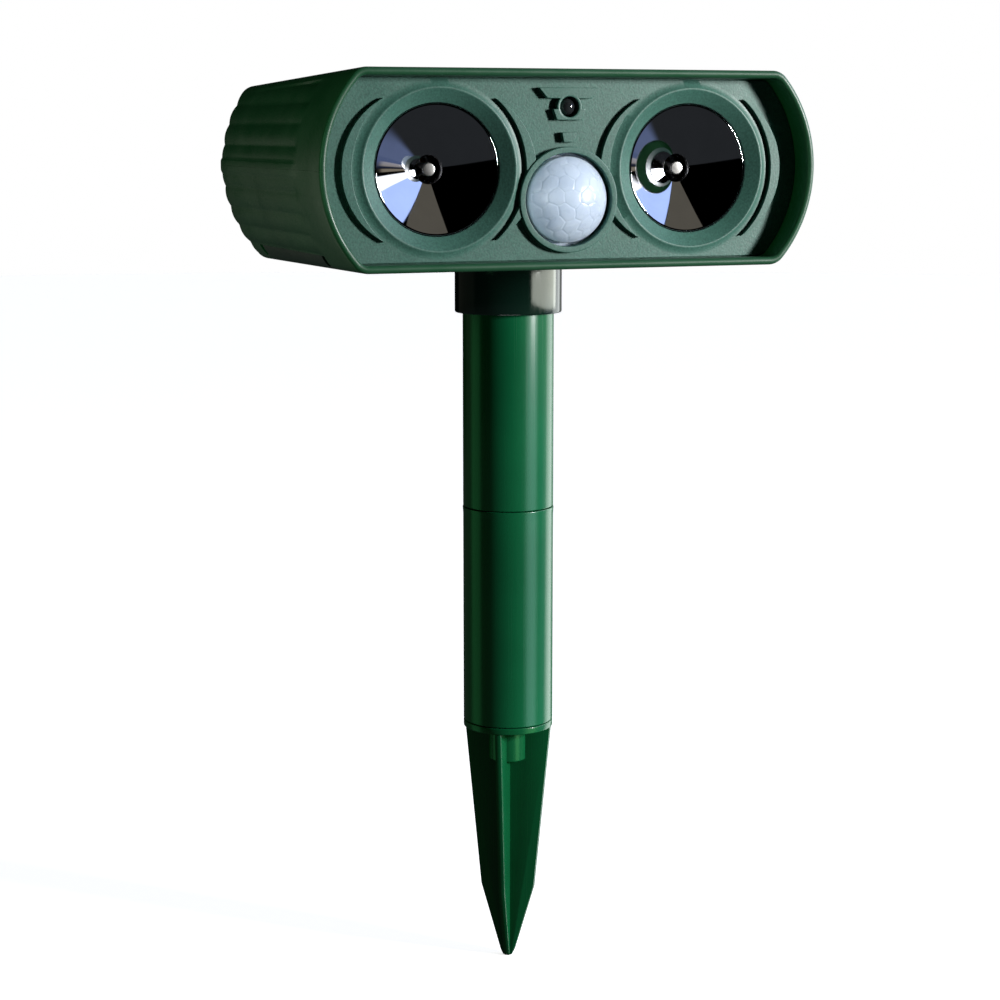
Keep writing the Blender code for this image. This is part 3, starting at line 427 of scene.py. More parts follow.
def polished(name, colour, roughness):
    """Bright metallised surface, with a faint haze from polishing."""
    n = Nodes(name)
    haze = n.noise(140.0, 4.0)
    n.link(n.ramp(haze, (0.3, shade(colour, 0.96)), (0.7, shade(colour, 1.04))), "Base Color")
    n.link(n.range(haze, roughness * 0.7, roughness * 1.3, (0.3, 0.7)), "Roughness")
    n.put(Metallic=1.0)
    return n


def brushed(name, colour, roughness):
    n = Nodes(name)
    lines = n.noise(1.0, 4.0, vector=n.stretched((300.0, 2200.0, 2200.0)))
    n.link(n.ramp(lines, (0.3, shade(colour, 0.85)), (0.7, shade(colour, 1.1))), "Base Color")
    n.link(n.range(lines, roughness - 0.08, roughness + 0.1, (0.3, 0.7)), "Roughness")
    n.bump(lines, 0.25, 0.00003)
    n.put(Metallic=1.0)
    return n


def solar_material():
    """Dark blue silicon with its fine silver fingers and two wide bus bars."""
    n = Nodes("solar_cells")
    parts = n.add("SeparateXYZ", {"Vector": n.place})
    half_pitch, half_finger = 0.0011, 0.00012
    finger = n.math("LESS_THAN", n.math("PINGPONG", parts.outputs["X"], half_pitch), half_finger)
    half_bus_pitch, half_bus, bus_shift = 0.0165, 0.0007, 0.0135
    shifted = n.math("ADD", parts.outputs["Y"], bus_shift)
    bus = n.math("LESS_THAN", n.math("PINGPONG", shifted, half_bus_pitch), half_bus)
    lines = n.math("MAXIMUM", n.math("MULTIPLY", finger, 0.55), bus)
    crystal = n.add("TexVoronoi", {"Vector": n.place, "Scale": 160.0}).outputs["Color"]
    tint = n.ramp(crystal, (0.2, (0.006, 0.009, 0.035)), (0.8, (0.012, 0.02, 0.075)))
    mix = n.add("Mix", data_type="RGBA")
    n.tree.links.new(lines, mix.inputs[0])
    n.tree.links.new(tint, mix.inputs[6])
    mix.inputs[7].default_value = (0.42, 0.43, 0.45, 1.0)
    n.link(mix.outputs[2], "Base Color")
    n.link(n.range(n.noise(60.0), 0.16, 0.3, (0.3, 0.7)), "Roughness")
    return n


def board_material():
    """Solder mask with a faint pattern of the tracks under it."""
    n = Nodes("board_green")
    cells = n.add("TexVoronoi", {"Vector": n.place, "Scale": 320.0}, feature="DISTANCE_TO_EDGE")
    edge = cells.outputs["Distance"]
    n.link(n.ramp(edge, (0.05, (0.035, 0.24, 0.1)), (0.11, (0.015, 0.12, 0.05))), "Base Color")
    n.link(n.range(n.noise(120.0), 0.28, 0.45, (0.3, 0.7)), "Roughness")
    n.bump(edge, 0.2, 0.00003)
    return n


def cell_material():
    """Printed wrap: a green sleeve with a dark band at the flat end."""
    n = Nodes("cell_wrap")
    along = n.add("SeparateXYZ", {"Vector": n.place}).outputs["Y"]
    step = n.range(along, 0.0, 1.0, (-0.0072, 0.0435))
    n.link(
        n.ramp(step, (0.0, (0.5, 0.5, 0.5)), (0.03, (0.015, 0.016, 0.018)), (0.3, (0.04, 0.24, 0.08)),
               (0.97, (0.05, 0.3, 0.1)), (0.985, (0.55, 0.55, 0.55))),
        "Base Color",
    )
    n.link(n.range(n.noise(200.0), 0.25, 0.4, (0.3, 0.7)), "Roughness")
    return n


def lens_material():
    """Milky polyethylene, a little deeper in tone where it is thick."""
    n = Nodes("milky_lens")
    cloud = n.noise(120.0, 3.0)
    n.link(n.ramp(cloud, (0.3, (0.49, 0.57, 0.69)), (0.7, (0.56, 0.64, 0.76))), "Base Color")
    n.link(n.range(cloud, 0.24, 0.34, (0.3, 0.7)), "Roughness")
    n.put(Subsurface_Weight=0.5, Subsurface_Scale=0.002, Subsurface_Radius=(1.0, 1.0, 1.1), IOR=1.5)
    n.bump(n.noise(1400.0, 2.0), 0.15, 0.00003)
    return n


def cover_material():
    n = Nodes("clear_cover")
    n.link(n.ramp(n.noise(80.0), (0.3, (0.93, 0.95, 0.97)), (0.7, (0.97, 0.98, 1.0))), "Base Color")
    n.link(n.range(n.noise(300.0), 0.02, 0.07, (0.3, 0.7)), "Roughness")
    n.put(Transmission_Weight=1.0, IOR=1.45)
    return n


def led_material():
    n = Nodes("led_lens")
    n.link(n.ramp(n.noise(300.0), (0.3, (0.012, 0.014, 0.015)), (0.7, (0.03, 0.034, 0.036))), "Base Color")
    n.link(n.range(n.noise(500.0), 0.03, 0.07, (0.3, 0.7)), "Roughness")
    n.put(Coat_Weight=0.5, Coat_Roughness=0.03)
    return n


MATERIALS = {
    "satin_green": moulded("satin_green", (0.016, 0.08, 0.037), 0.42).material,
    "panel_green": moulded(
        "panel_green", (0.05, 0.145, 0.112), 0.44, spread=0.26, depth=0.00011, mottle=0.7
    ).material,
    "gloss_green": extruded("gloss_green", (0.004, 0.1, 0.036), 0.24, 0.15).material,
    "collar_gloss": extruded("collar_gloss", (0.003, 0.012, 0.008), 0.1, 0.8).material,
    "dark_chrome": polished("dark_chrome", (0.55, 0.56, 0.6), 0.035).material,
    "chrome": polished("chrome", (0.8, 0.79, 0.76), 0.24).material,
    "milky_lens": lens_material().material,
    "led_lens": led_material().material,
    "solar_cells": solar_material().material,
    "clear_cover": cover_material().material,
    "black_plastic": moulded("black_plastic", (0.014, 0.014, 0.015), 0.42).material,
    "rubber": moulded("rubber", (0.018, 0.018, 0.019), 0.72, grain=900.0).material,
    "steel": brushed("steel", (0.5, 0.5, 0.5), 0.34).material,
    "brass": brushed("brass", (0.72, 0.52, 0.2), 0.3).material,
    "board_green": board_material().material,
    "cell_wrap": cell_material().material,
    "red_wire": moulded("red_wire", (0.42, 0.02, 0.018), 0.45, grain=700.0).material,
}


# ---------------------------------------------------------------- housing


def top_height(depth):
    return HALF_HEIGHT - TOP_FALL * depth / HEAD_DEPTH


def side_points(half_height, inset, flutes, steps, corner_steps):
    """(x, z) from the seam up the right side and round its corner to the top."""
    centre_x = HALF_WIDTH - SIDE_RADIUS
    rise = half_height - CORNER_RADIUS
    corner_x = centre_x + math.sqrt((SIDE_RADIUS - CORNER_RADIUS) ** 2 - rise**2)
    meet = math.atan2(rise, corner_x - centre_x)
    rib = SEAM_RIB / SIDE_RADIUS
    points = [(0.0, flutes * 0.5), (rib * 0.85, flutes * 0.5), (rib, flutes * 0.4)]
    for i in range(1, steps + 1):
        angle = rib * 1.2 + (meet - rib * 1.2) * i / steps
        scallop = abs(math.sin(math.pi * angle * SIDE_RADIUS / FLUTE_PITCH)) ** 0.8
        points.append((angle, -flutes * FLUTE_DEPTH * (1 - scallop)))
    side = [
        (centre_x + (SIDE_RADIUS - inset + out) * math.cos(a), (SIDE_RADIUS - inset + out) * math.sin(a))
        for a, out in points
    ]
    corner = arc((corner_x, rise), CORNER_RADIUS - inset, meet, math.pi / 2, corner_steps)
    return side[:-1] + corner


def head_section(depth, inset, flutes=0.0, steps=52, corner_steps=8):
    """Cross-section of the head as 3D points all the way round."""
    bottom = HALF_HEIGHT + BOTTOM_FALL * depth / HEAD_DEPTH
    upper = side_points(top_height(depth), inset, flutes, steps, corner_steps)
    lower = side_points(bottom, inset, flutes, steps, corner_steps)
    loop = upper + [(-x, z) for x, z in reversed(upper)][:-1]
    loop += [(-x, -z) for x, z in lower] + [(x, -z) for x, z in reversed(lower)][:-1]
    return [head(x, depth, z) for x, z in loop]


def shell_solid(name):
    """Both shells as one open-fronted solid: back, outside, rounded lip, hood, groove, inside."""
    bead = LIP / 2
    stations = [(HEAD_DEPTH, 3.4, 0.3), (HEAD_DEPTH - 0.3, 2.2, 0.7), (HEAD_DEPTH - 1.0, 1.0, 0.9),
                (HEAD_DEPTH - 2.2, 0.3, 1.0), (HEAD_DEPTH - 3.5, 0.0, 1.0)]
    stations += [(depth, 0.0, 1.0) for depth in (100.0, 70.0, 45.0, FLUTE_START + 6)]
    stations += [(FLUTE_START + 4, 0.0, 0.85), (FLUTE_START + 2, 0.0, 0.4), (FLUTE_START + 0.6, 0.0, 0.1),
                 (FLUTE_START, 0.0, 0.0), (14.0, 0.0, 0.0)]
    for i in range(9):
        turn = math.pi * i / 8
        stations.append((bead * (1 - math.sin(turn)), bead * (1 - math.cos(turn)), 0.0))
    stations += [(PANEL_FRONT - 1.0, LIP, 0.0), (GROOVE[0], LIP, 0.0), (GROOVE[0], GROOVE_INSET, 0.0),
                 (GROOVE[1], GROOVE_INSET, 0.0), (GROOVE[1], WALL, 0.0), (HEAD_DEPTH - 5.0, WALL, 0.0),
                 (HEAD_DEPTH - 2.2, 2 * WALL, 0.0)]
    return loft(name, [head_section(*station) for station in stations])


def half_box(name, above):
    edges = (-SEAM_GAP / 2, 60.0) if above else (-60.0, SEAM_GAP / 2)
    return block(name, head(-120.0, -10.0, edges[0]), head(120.0, HEAD_DEPTH + 10.0, edges[1]))


def seam_strips(clearance):
    """The lower shell's tongues along the seam, or the grooves for them when widened."""
    strips = []
    for sign in (-1, 1):
        near, far = sorted(sign * (HALF_WIDTH - inset) for inset in TONGUE)
        for start, end in TONGUE_RUNS:
            low = head(near - clearance, start - clearance, -1.0)
            high = head(far + clearance, end + clearance, TONGUE_RISE + clearance)
            strips.append(block("seam_strip", low, high))
    return strips


def top_block(name, half_x, depths, top, bottom, radius):
    """Rounded plate lying in the sloping top, its faces given below the shell's surface."""
    middle = (depths[0] + depths[1]) / 2
    half_y = (depths[1] - depths[0]) / 2
    outline = []
    for k, (sx, sy) in enumerate(((1, 1), (-1, 1), (-1, -1), (1, -1))):
        inner = (sx * (half_x - radius), sy * (half_y - radius))
        outline += arc(inner, radius, math.pi / 2 * k, math.pi / 2 * (k + 1), 6)
    edge = 0.25
    sections = []
    for z, shrink in ((-bottom, edge), (-bottom + edge, 0.0), (-top - edge, 0.0), (-top, edge)):
        sections.append([(x * (1 - shrink / half_x), y * (1 - shrink / half_y), z) for x, y in outline])
    obj = loft(name, sections)
    spin = Matrix.Rotation(-math.atan(TOP_FALL / HEAD_DEPTH), 4, "X")
    obj.data.transform(Matrix.Translation(head(0, middle, top_height(middle)) * MM) @ spin)
    return obj


def make_upper_shell():
    shell = shell_solid("housing_top")
    cuts = [half_box("half", False), *seam_strips(GAP)]
    cuts.append(top_block("recess", SOLAR_X, SOLAR_Y, -2.0, SOLAR_RECESS, 2.0))
    cups = []
    for x in KNOBS.values():
        at = head(x, 0, KNOB_Z)
        cups.append(rod("cup", KNOB_POCKET + POCKET_WALL, POCKET_FLOOR - 2.2, HEAD_DEPTH - 1, origin=at))
        rim = ((0, POCKET_FLOOR), (KNOB_POCKET, POCKET_FLOOR), (KNOB_POCKET, HEAD_DEPTH - 0.5),
               (KNOB_POCKET + 1.5, HEAD_DEPTH + 1.0), (0, HEAD_DEPTH + 1.0))
        cuts.append(turned("pocket", rim, at, segments=72))
        cuts.append(rod("shaft_hole", SHAFT_HOLE, 100.0, HEAD_DEPTH, origin=at, segments=32))
    tray = top_block("tray", SOLAR_X + 2, (SOLAR_Y[0] - 2, SOLAR_Y[1] + 2), 1.0, 5.2, 3.0)
    boolean(shell, "UNION", tray, *cups)
    boolean(shell, "DIFFERENCE", *cuts)
    place(shell, "head", "satin_green", "upper_shell")


def door_box(ends, top):
    """Box round the battery door, wider by the gaps at its ends and over its top edge."""
    low = head(-120.0, DOOR_Y[0] - ends, -60.0)
    high = head(DOOR_X + ends, DOOR_Y[1] + ends, DOOR_TOP + top)
    return block("door_box", low, high)


def make_lower_shell():
    shell = shell_solid("housing_bottom")
    pole = head(0, -FRONT_Y, 0)
    cuts = [half_box("half", True), door_box(GAP + 0.3, 0.03)]
    cuts.append(rod("bore", SWIVEL_RADIUS + GAP, -40.0, -20.0, origin=pole, axis="Z", segments=64))
    posts = []
    for x, depth in HOUSING_SCREWS:
        at = head(x, depth, 0)
        cuts.append(rod("head_hole", SCREW_HEAD_HOLE, -40.0, -24.0, origin=at, axis="Z", segments=32))
        posts.append(rod("post", POST_RADIUS, POST_BOTTOM, -0.6, origin=at, axis="Z"))
    slot_x, slot_z = SWITCH
    half_x, half_z = SWITCH_SLOT
    low = head(slot_x - half_x, 100.0, slot_z - half_z)
    high = head(slot_x + half_x, 140.0, slot_z + half_z)
    cuts.append(block("slot", low, high))
    cuts.append(rod("dc_hole", DC_HOLE, 100.0, 140.0, origin=head(DC[0], 0, DC[1])))
    anchor = head(DC[0], 0, CAP_ANCHOR_Z)
    cuts.append(rod("anchor_hole", CAP_ANCHOR_HOLE, 100.0, 140.0, origin=anchor, segments=24))
    boolean(shell, "UNION", *posts)
    boolean(shell, "DIFFERENCE", *cuts)
    boolean(shell, "UNION", *seam_strips(0.0))
    place(shell, "head", "satin_green", "lower_shell")


def make_battery_door():
    door = shell_solid("battery_cover")
    boolean(door, "INTERSECT", door_box(0.0, 0.0))
    at = head(DOOR_SCREW[0], DOOR_SCREW[1], 0)
    hole_radius, recess_radius = DOOR_SCREW_RADII
    recess = rod("recess", recess_radius, -40.0, DOOR_SCREW_SEAT, origin=at, axis="Z", segments=32)
    hole = rod("hole", hole_radius, -40.0, -20.0, origin=at, axis="Z", segments=24)
    notches = []
    for y, inward in zip(DOOR_Y, (3.0, -3.0)):
        near, far = sorted((y - inward / 3, y + inward))
        notches.append(block("notch", head(NOTCH_X[0], near, NOTCH_Z[0]), head(NOTCH_X[1], far, NOTCH_Z[1])))
    boolean(door, "DIFFERENCE", recess, hole, *notches)
    place(door, "battery_door", "satin_green", "battery_door")


# ---------------------------------------------------------------- front panel


def rounded_rises(rise, edge, steps=3):
    """(height, inset) pairs that round off the front edge of a raised shape."""
    pairs = []
    for i in range(steps + 1):
        turn = math.pi / 2 * i / steps
        pairs.append((rise - edge * (1 - math.cos(turn)), edge * (1 - math.sin(turn))))
    return pairs


def crescent_outline(inset, side, x0):
    """Moon between two arcs, drawn in by inset."""
    inner, outer = CRESCENT_INNER + inset, CRESCENT_OUTER - inset
    reach = (inner**2 - outer**2 + CRESCENT_SHIFT**2) / (2 * CRESCENT_SHIFT)
    inner_end = math.acos(max(-1.0, min(1.0, reach / inner)))
    outer_end = math.atan2(inner * math.sin(inner_end), reach - CRESCENT_SHIFT)
    outline = arc((CRESCENT_SHIFT, 0), outer, -outer_end, outer_end, 48)
    outline += arc((0, 0), inner, inner_end, -inner_end, 48)[1:-1]
    return [(x0 + side * x, z) for x, z in outline]


def crescent(name, side, sign):
    sections = [[head(x, PANEL_BACK - 1.0, z) for x, z in crescent_outline(0.0, side, sign * HORN_X)]]
    for height, inset in reversed(rounded_rises(CRESCENT_RISE, 0.2)):
        outline = crescent_outline(inset, side, sign * HORN_X)
        sections.append([head(x, PANEL_FRONT - height, z) for x, z in outline])
    return loft(name, sections)


def bar(name, height, tall, top_width, bottom_width):
    """Raised bar, wider at its top edge."""
    sections = []
    for rise, inset in [(-1.9, 0.0)] + list(reversed(rounded_rises(BAR_RISE, 0.25))):
        half, top, bottom = tall / 2 - inset, top_width / 2 - inset, bottom_width / 2 - inset
        outline = ((-top, half), (-bottom, -half), (bottom, -half), (top, half))
        sections.append([head(x, PANEL_FRONT - rise, height + z) for x, z in outline])
    return loft(name, sections)


def boss(name, radius, front, at):
    """Round block on the panel with a softened rim."""
    back = PANEL_BACK - 0.4
    return turned(name, rounded([(0, back), (0, front), (radius, front), (radius, back)], {2: 0.35}), at)


def flared(name, radius, front, at):
    """Cutter for a hole through a boss, which widens a little at the mouth."""
    profile = [(0, 20.0), (radius, 20.0), (radius, front + 0.3), (radius + 0.09, front + 0.09),
               (radius + 0.3, front - 0.02), (radius + 0.3, 0.0), (0, 0.0)]
    return turned(name, profile, at)


def make_front_panel():
    stations = ((PANEL_FRONT, LIP + GAP + PANEL_RIM), (PANEL_FRONT + 0.07, LIP + GAP + 0.07),
                (PANEL_FRONT + PANEL_RIM, LIP + GAP), (GROOVE[0] + GAP, LIP + GAP),
                (GROOVE[0] + GAP, GROOVE_INSET + GAP), (PANEL_BACK, GROOVE_INSET + GAP))
    panel = loft("panel_face", [head_section(*station, steps=40) for station in stations])
    pir, led = head(0, 0, PIR_Z), head(0, 0, LED_Z)
    raised, holes = [], []
    for sign in (-1, 1):
        at = head(sign * HORN_X, 0, 0)
        crest = PANEL_FRONT - RING_RISE
        back = PANEL_BACK - 0.3
        ring = [(HORN_MOUTH, back), (HORN_MOUTH, PANEL_FRONT + BEVEL_DEPTH), (RING_CREST - 0.3, crest),
                (RING_CREST + 0.2, crest), (RING_FOOT + 0.3, PANEL_FRONT + 0.15), (RING_FOOT + 0.3, back)]
        profile = rounded(ring, {1: 0.3, 2: 0.22, 3: 0.22})
        holes.append(rod("ring_hole", RING_CREST - 1.0, 0.0, 20.0, origin=at, segments=96))
        raised.append(turned("ring", profile, at, segments=128))
        raised.append(crescent("outer_crescent", sign, sign))
        raised.append(crescent("inner_crescent", -sign, sign))
    collar_front, boss_front = PANEL_FRONT - COLLAR_RISE, PANEL_FRONT - LED_BOSS_RISE
    raised.append(boss("pir_collar", PIR_COLLAR, collar_front, pir))
    raised.append(boss("led_boss", LED_BOSS, boss_front, led))
    for i, size in enumerate(BARS):
        raised.append(bar(f"bar_{i}", *size))
    cuts = [flared("pir_hole", PIR_HOLE, collar_front, pir), flared("led_hole", LED_HOLE, boss_front, led)]
    boolean(panel, "DIFFERENCE", *holes, solver="MANIFOLD")
    boolean(panel, "UNION", *raised, solver="MANIFOLD")
    boolean(panel, "DIFFERENCE", *cuts, solver="MANIFOLD")
    panel.modifiers.new("weighted", "WEIGHTED_NORMAL").keep_sharp = True
    place(panel, "head", "panel_green", "front_panel")


# ---------------------------------------------------------------- horns and sensing


def make_horns():
    end_radius, end_depth = CONE_END
    flange, flange_front, flange_back = HORN_FLANGE
    seat, seat_front, seat_back = THROAT_FLANGE
    slope = (HORN_LIP - end_radius) / (end_depth - HORN_FRONT)
    meet = end_radius + 1.8
    for label, sign in (("left", -1), ("right", 1)):
        at = head(sign * HORN_X, 0, 0)
        profile = [
            (HORN_LIP, HORN_FRONT), CONE_END, (THROAT_RADIUS, end_depth + 1.2), (THROAT_RADIUS, seat_back),
            (seat, seat_back), (seat, seat_front), (meet - 0.8, seat_front),
            (meet - 0.8, end_depth + HORN_WALL), (meet, HORN_FRONT + (HORN_LIP - meet) / slope + HORN_WALL),
            (HORN_LIP - (flange_back - HORN_WALL - HORN_FRONT) * slope, flange_back),
            (flange, flange_back), (flange, flange_front), (HORN_SLEEVE, flange_front),
            (HORN_SLEEVE, HORN_FRONT),
        ]
        profile = rounded(profile, {0: 0.12, 13: 0.2})
        horn = turned(f"horn_cone_{label}", profile, at, segments=192, smooth=30.0)
        place(horn, "head", "dark_chrome", f"horn_{label}")
        make_phase_pin(label, at)


def make_phase_pin(label, at):
    """Pin on the throat's axis, on a plate with four round ports for the sound."""
    plate, plate_front, plate_back = PIN_PLATE
    pin = [(0, PIN_TIP), (PIN_RADIUS, PIN_TIP), (PIN_RADIUS, plate_front), (plate, plate_front),
           (plate, plate_back), (0, plate_back)]
    phase_pin = turned(f"horn_pin_{label}", rounded(pin, {1: 0.35}), at, segments=64)
    ports = []
    for i in range(4):
        angle = math.pi * (0.25 + i / 2)
        hole_at = at + Vector((PORT_CIRCLE * math.cos(angle), 0, PORT_CIRCLE * math.sin(angle)))
        ports.append(rod("port", PORT_RADIUS, 30.0, 40.0, origin=hole_at, segments=32))
    boolean(phase_pin, "DIFFERENCE", *ports)
    place(phase_pin, "head", "chrome", f"phase_pin_{label}")


def hex_facets(x, z, size):
    """Distance from the nearest border of a hexagon grid, and the offset from its cell's centre."""
    q = (math.sqrt(3) / 3 * x - z / 3) / size
    r = (2 / 3 * z) / size
    cx, cz, cy = q, r, -q - r
    rx, ry, rz = round(cx), round(cy), round(cz)
    dx, dy, dz = abs(rx - cx), abs(ry - cy), abs(rz - cz)
    if dx > dy and dx > dz:
        rx = -ry - rz
    elif dy <= dz:
        rz = -rx - ry
    centre = (size * math.sqrt(3) * (rx + rz / 2), size * 1.5 * rz)
    ox, oz = x - centre[0], z - centre[1]
    reach = 0.0
    for k in range(6):
        a = math.pi / 3 * k
        reach = max(reach, ox * math.cos(a) + oz * math.sin(a))
    return size * math.sqrt(3) / 2 - reach, math.hypot(ox, oz)


def dome_point(share, spoke):
    """Place on the lens's outside, where share runs from 0 at its crown to 1 at its edge."""
    tilt = math.asin(PIR_DOME / DOME_SPHERE) * share
    a = 2 * math.pi * spoke / DOME_SPOKES
    u, w = DOME_SPHERE * tilt * math.cos(a), DOME_SPHERE * tilt * math.sin(a)
    skew_u, skew_w = 0.6 * math.sin(0.5 * w + 1.0), 0.5 * math.sin(0.55 * u + 2.0)
    border, offset = hex_facets(u + 0.6 + skew_u, w - 0.9 + skew_w, LENS_CELL)
    fade = min(1.0, (1 - share) * 9)
    groove = LENS_RELIEF * max(0.0, 1 - border / 0.24) * fade
    bulge = LENS_RELIEF * (1 - (offset / LENS_CELL) ** 2) * fade
    radius = DOME_SPHERE - LENS_RELIEF - groove + bulge * 0.7
    out = radius * math.sin(tilt)
    spot = Vector((out * math.cos(a), DOME_CENTRE - radius * math.cos(tilt), out * math.sin(a)))
    return spot + head(0, 0, PIR_Z)


def dome_back():
    """(radius, depth) pairs from the lens's edge round its rim and up its inside."""
    rim, rim_front, rim_back = LENS_RIM
    inside = DOME_SPHERE - LENS_WALL
    edge = math.asin((PIR_DOME - LENS_WALL) / inside)
    pairs = [(PIR_DOME, DOME_BASE + 0.4), (PIR_DOME, rim_front), (rim, rim_front), (rim, rim_back),
             (PIR_DOME - LENS_WALL, rim_back)]
    for i in range(8, -1, -1):
        pairs.append((inside * math.sin(edge * i / 8), DOME_CENTRE - inside * math.cos(edge * i / 8)))
    return pairs


def make_sensor_dome():
    """Domed lens moulded as a honeycomb of small lenses with fine grooves between them."""
    pir = head(0, 0, PIR_Z)
    spokes = range(DOME_SPOKES)
    bm = bmesh.new()
    crown = bm.verts.new(dome_point(0.0, 0))
    loops = [[bm.verts.new(dome_point(i / DOME_RINGS, k)) for k in spokes] for i in range(1, DOME_RINGS + 1)]
    *back, tip = dome_back()
    for radius, depth in back:
        angles = [2 * math.pi * k / DOME_SPOKES for k in spokes]
        places = [Vector((radius * math.cos(a), depth, radius * math.sin(a))) + pir for a in angles]
        loops.append([bm.verts.new(place) for place in places])
    inner_crown = bm.verts.new(Vector((0, tip[1], 0)) + pir)
    for near, far in zip(loops, loops[1:]):
        for k in spokes:
            j = (k + 1) % DOME_SPOKES
            bm.faces.new((near[k], near[j], far[j], far[k]))
    for k in spokes:
        j = (k + 1) % DOME_SPOKES
        bm.faces.new((crown, loops[0][j], loops[0][k]))
        bm.faces.new((inner_crown, loops[-1][k], loops[-1][j]))
    place(finish_mesh("sensor_dome", bm, smooth=60.0), "head", "milky_lens", "pir_lens")


def make_led():
    led = head(0, 0, LED_Z)
    rim, rim_front, rim_back = LED_RIM
    outline = []
    for i in range(13):
        tilt = math.pi / 2 * i / 12
        outline.append((LED_RADIUS * math.sin(tilt), LED_TIP + LED_RADIUS * (1 - math.cos(tilt))))
    outline += [(LED_RADIUS, rim_front), (rim, rim_front), (rim, rim_back), (0, rim_back)]
    body = turned("led_dome", outline, led, segments=64)
    legs = [block("leg", led + Vector((x - 0.3, 13.0, -0.3)), led + Vector((x + 0.3, LEG_END, 0.3)))
            for x in (-LEG_X, LEG_X)]
    boolean(body, "UNION", *legs)
    place(body, "head", "led_lens", "status_led")


# ---------------------------------------------------------------- controls and top


def make_knobs():
    for name, x in KNOBS.items():
        at = head(x, 0, KNOB_Z)
        front, back = POCKET_FLOOR + 0.6, HEAD_DEPTH + 1.6
        count = 144
        sections = []
        for depth, scale, cut in ((front, 0.97, 0.3), (front + 0.4, 1.0, 0.5), (back - 0.9, 0.985, 0.5),
                                  (back - 0.35, 0.955, 0.3), (back - 0.08, 0.91, 0.1), (back, 0.86, 0.0)):
            ring = []
            for i in range(count):
                a = 2 * math.pi * i / count
                radius = (KNOB_RADIUS - cut * (0.5 + 0.5 * math.cos(KNOB_FLUTES * a))) * scale
                ring.append(at + Vector((radius * math.cos(a), depth, radius * math.sin(a))))
            sections.append(ring)
        knob = loft(f"{name}_dial", sections)
        bore = rod("bore", KNOB_BORE, 100.0, back - 2.0, origin=at)
        groove = block("index", at + Vector((-0.55, back - 0.6, 2.0)), at + Vector((0.55, back + 1, 12.0)))
        boolean(knob, "DIFFERENCE", bore, groove)
        place(knob, f"{name}_knob", "black_plastic", f"{name}_knob")


def make_solar():
    half_x = SOLAR_X - GAP
    depths = (SOLAR_Y[0] + GAP, SOLAR_Y[1] - GAP)
    cells = top_block("solar_cells_sheet", half_x, depths, *CELLS_DEPTHS, SOLAR_CORNER)
    cover = top_block("solar_window", half_x, depths, *COVER_DEPTHS, SOLAR_CORNER)
    place(cells, "head", "solar_cells", "solar_panel")
    place(cover, "head", "clear_cover", "solar_cover")


# ---------------------------------------------------------------- stake


def make_collar():
    profile = [
        (0, SOCKET_ROOF), (TUBE_RADIUS + GAP, SOCKET_ROOF), (TUBE_RADIUS + GAP, COLLAR_BOTTOM),
        (COLLAR_RADIUS, COLLAR_BOTTOM), (COLLAR_RADIUS, COLLAR_TOP), (SWIVEL_RADIUS, COLLAR_TOP),
        (SWIVEL_RADIUS, SEAM_Z - SWIVEL_TOP), (PILOT_RADIUS, SEAM_Z - SWIVEL_TOP),
        (PILOT_RADIUS, COLLAR_TOP + 0.8), (0, COLLAR_TOP + 0.8),
    ]
    collar = turned("neck", rounded(profile, {2: 0.5, 3: 0.6, 4: 0.5}), axis="Z", segments=160)
    place(collar, "collar", "collar_gloss", "neck_collar")


def make_tubes():
    upper = [
        (TUBE_BORE, COLLAR_TOP - 4.0), (TUBE_RADIUS, COLLAR_TOP - 4.0), (TUBE_RADIUS, TUBE_SEAM + GAP),
        (SPIGOT[0], TUBE_SEAM + GAP), (SPIGOT[0], TUBE_SEAM - SPIGOT_LENGTH),
        (SPIGOT[1], TUBE_SEAM - SPIGOT_LENGTH), (SPIGOT[1], TUBE_SEAM + GAP + 3),
        (TUBE_BORE, TUBE_SEAM + GAP + 6),
    ]
    tube = turned("pole_upper", rounded(upper, {1: 0.6, 2: 0.35, 4: 0.6}), axis="Z", segments=160)
    place(tube, "upper_pole", "gloss_green", "upper_tube")
    bottom = FLANGE_TOP + GAP
    lower = [
        (TUBE_BORE, TUBE_SEAM), (TUBE_RADIUS + 0.2, TUBE_SEAM), (TUBE_RADIUS, TUBE_SEAM - 2.5),
        (TUBE_RADIUS, bottom), (TUBE_BORE, bottom),
    ]
    tube = turned("pole_lower", rounded(lower, {1: 0.35, 2: 1.0, 3: 0.35}), axis="Z", segments=160)
    place(tube, "lower_pole", "gloss_green", "lower_tube")


def fin_outline(inset):
    """(x, z) round a fin, drawn in by inset at its edges and its tip."""
    outline = list(SPIKE_OUTLINE) + [(-x, z) for x, z in reversed(SPIKE_OUTLINE)]
    return [(x - math.copysign(inset, x), z + (inset if z < -80 else 0)) for x, z in outline]


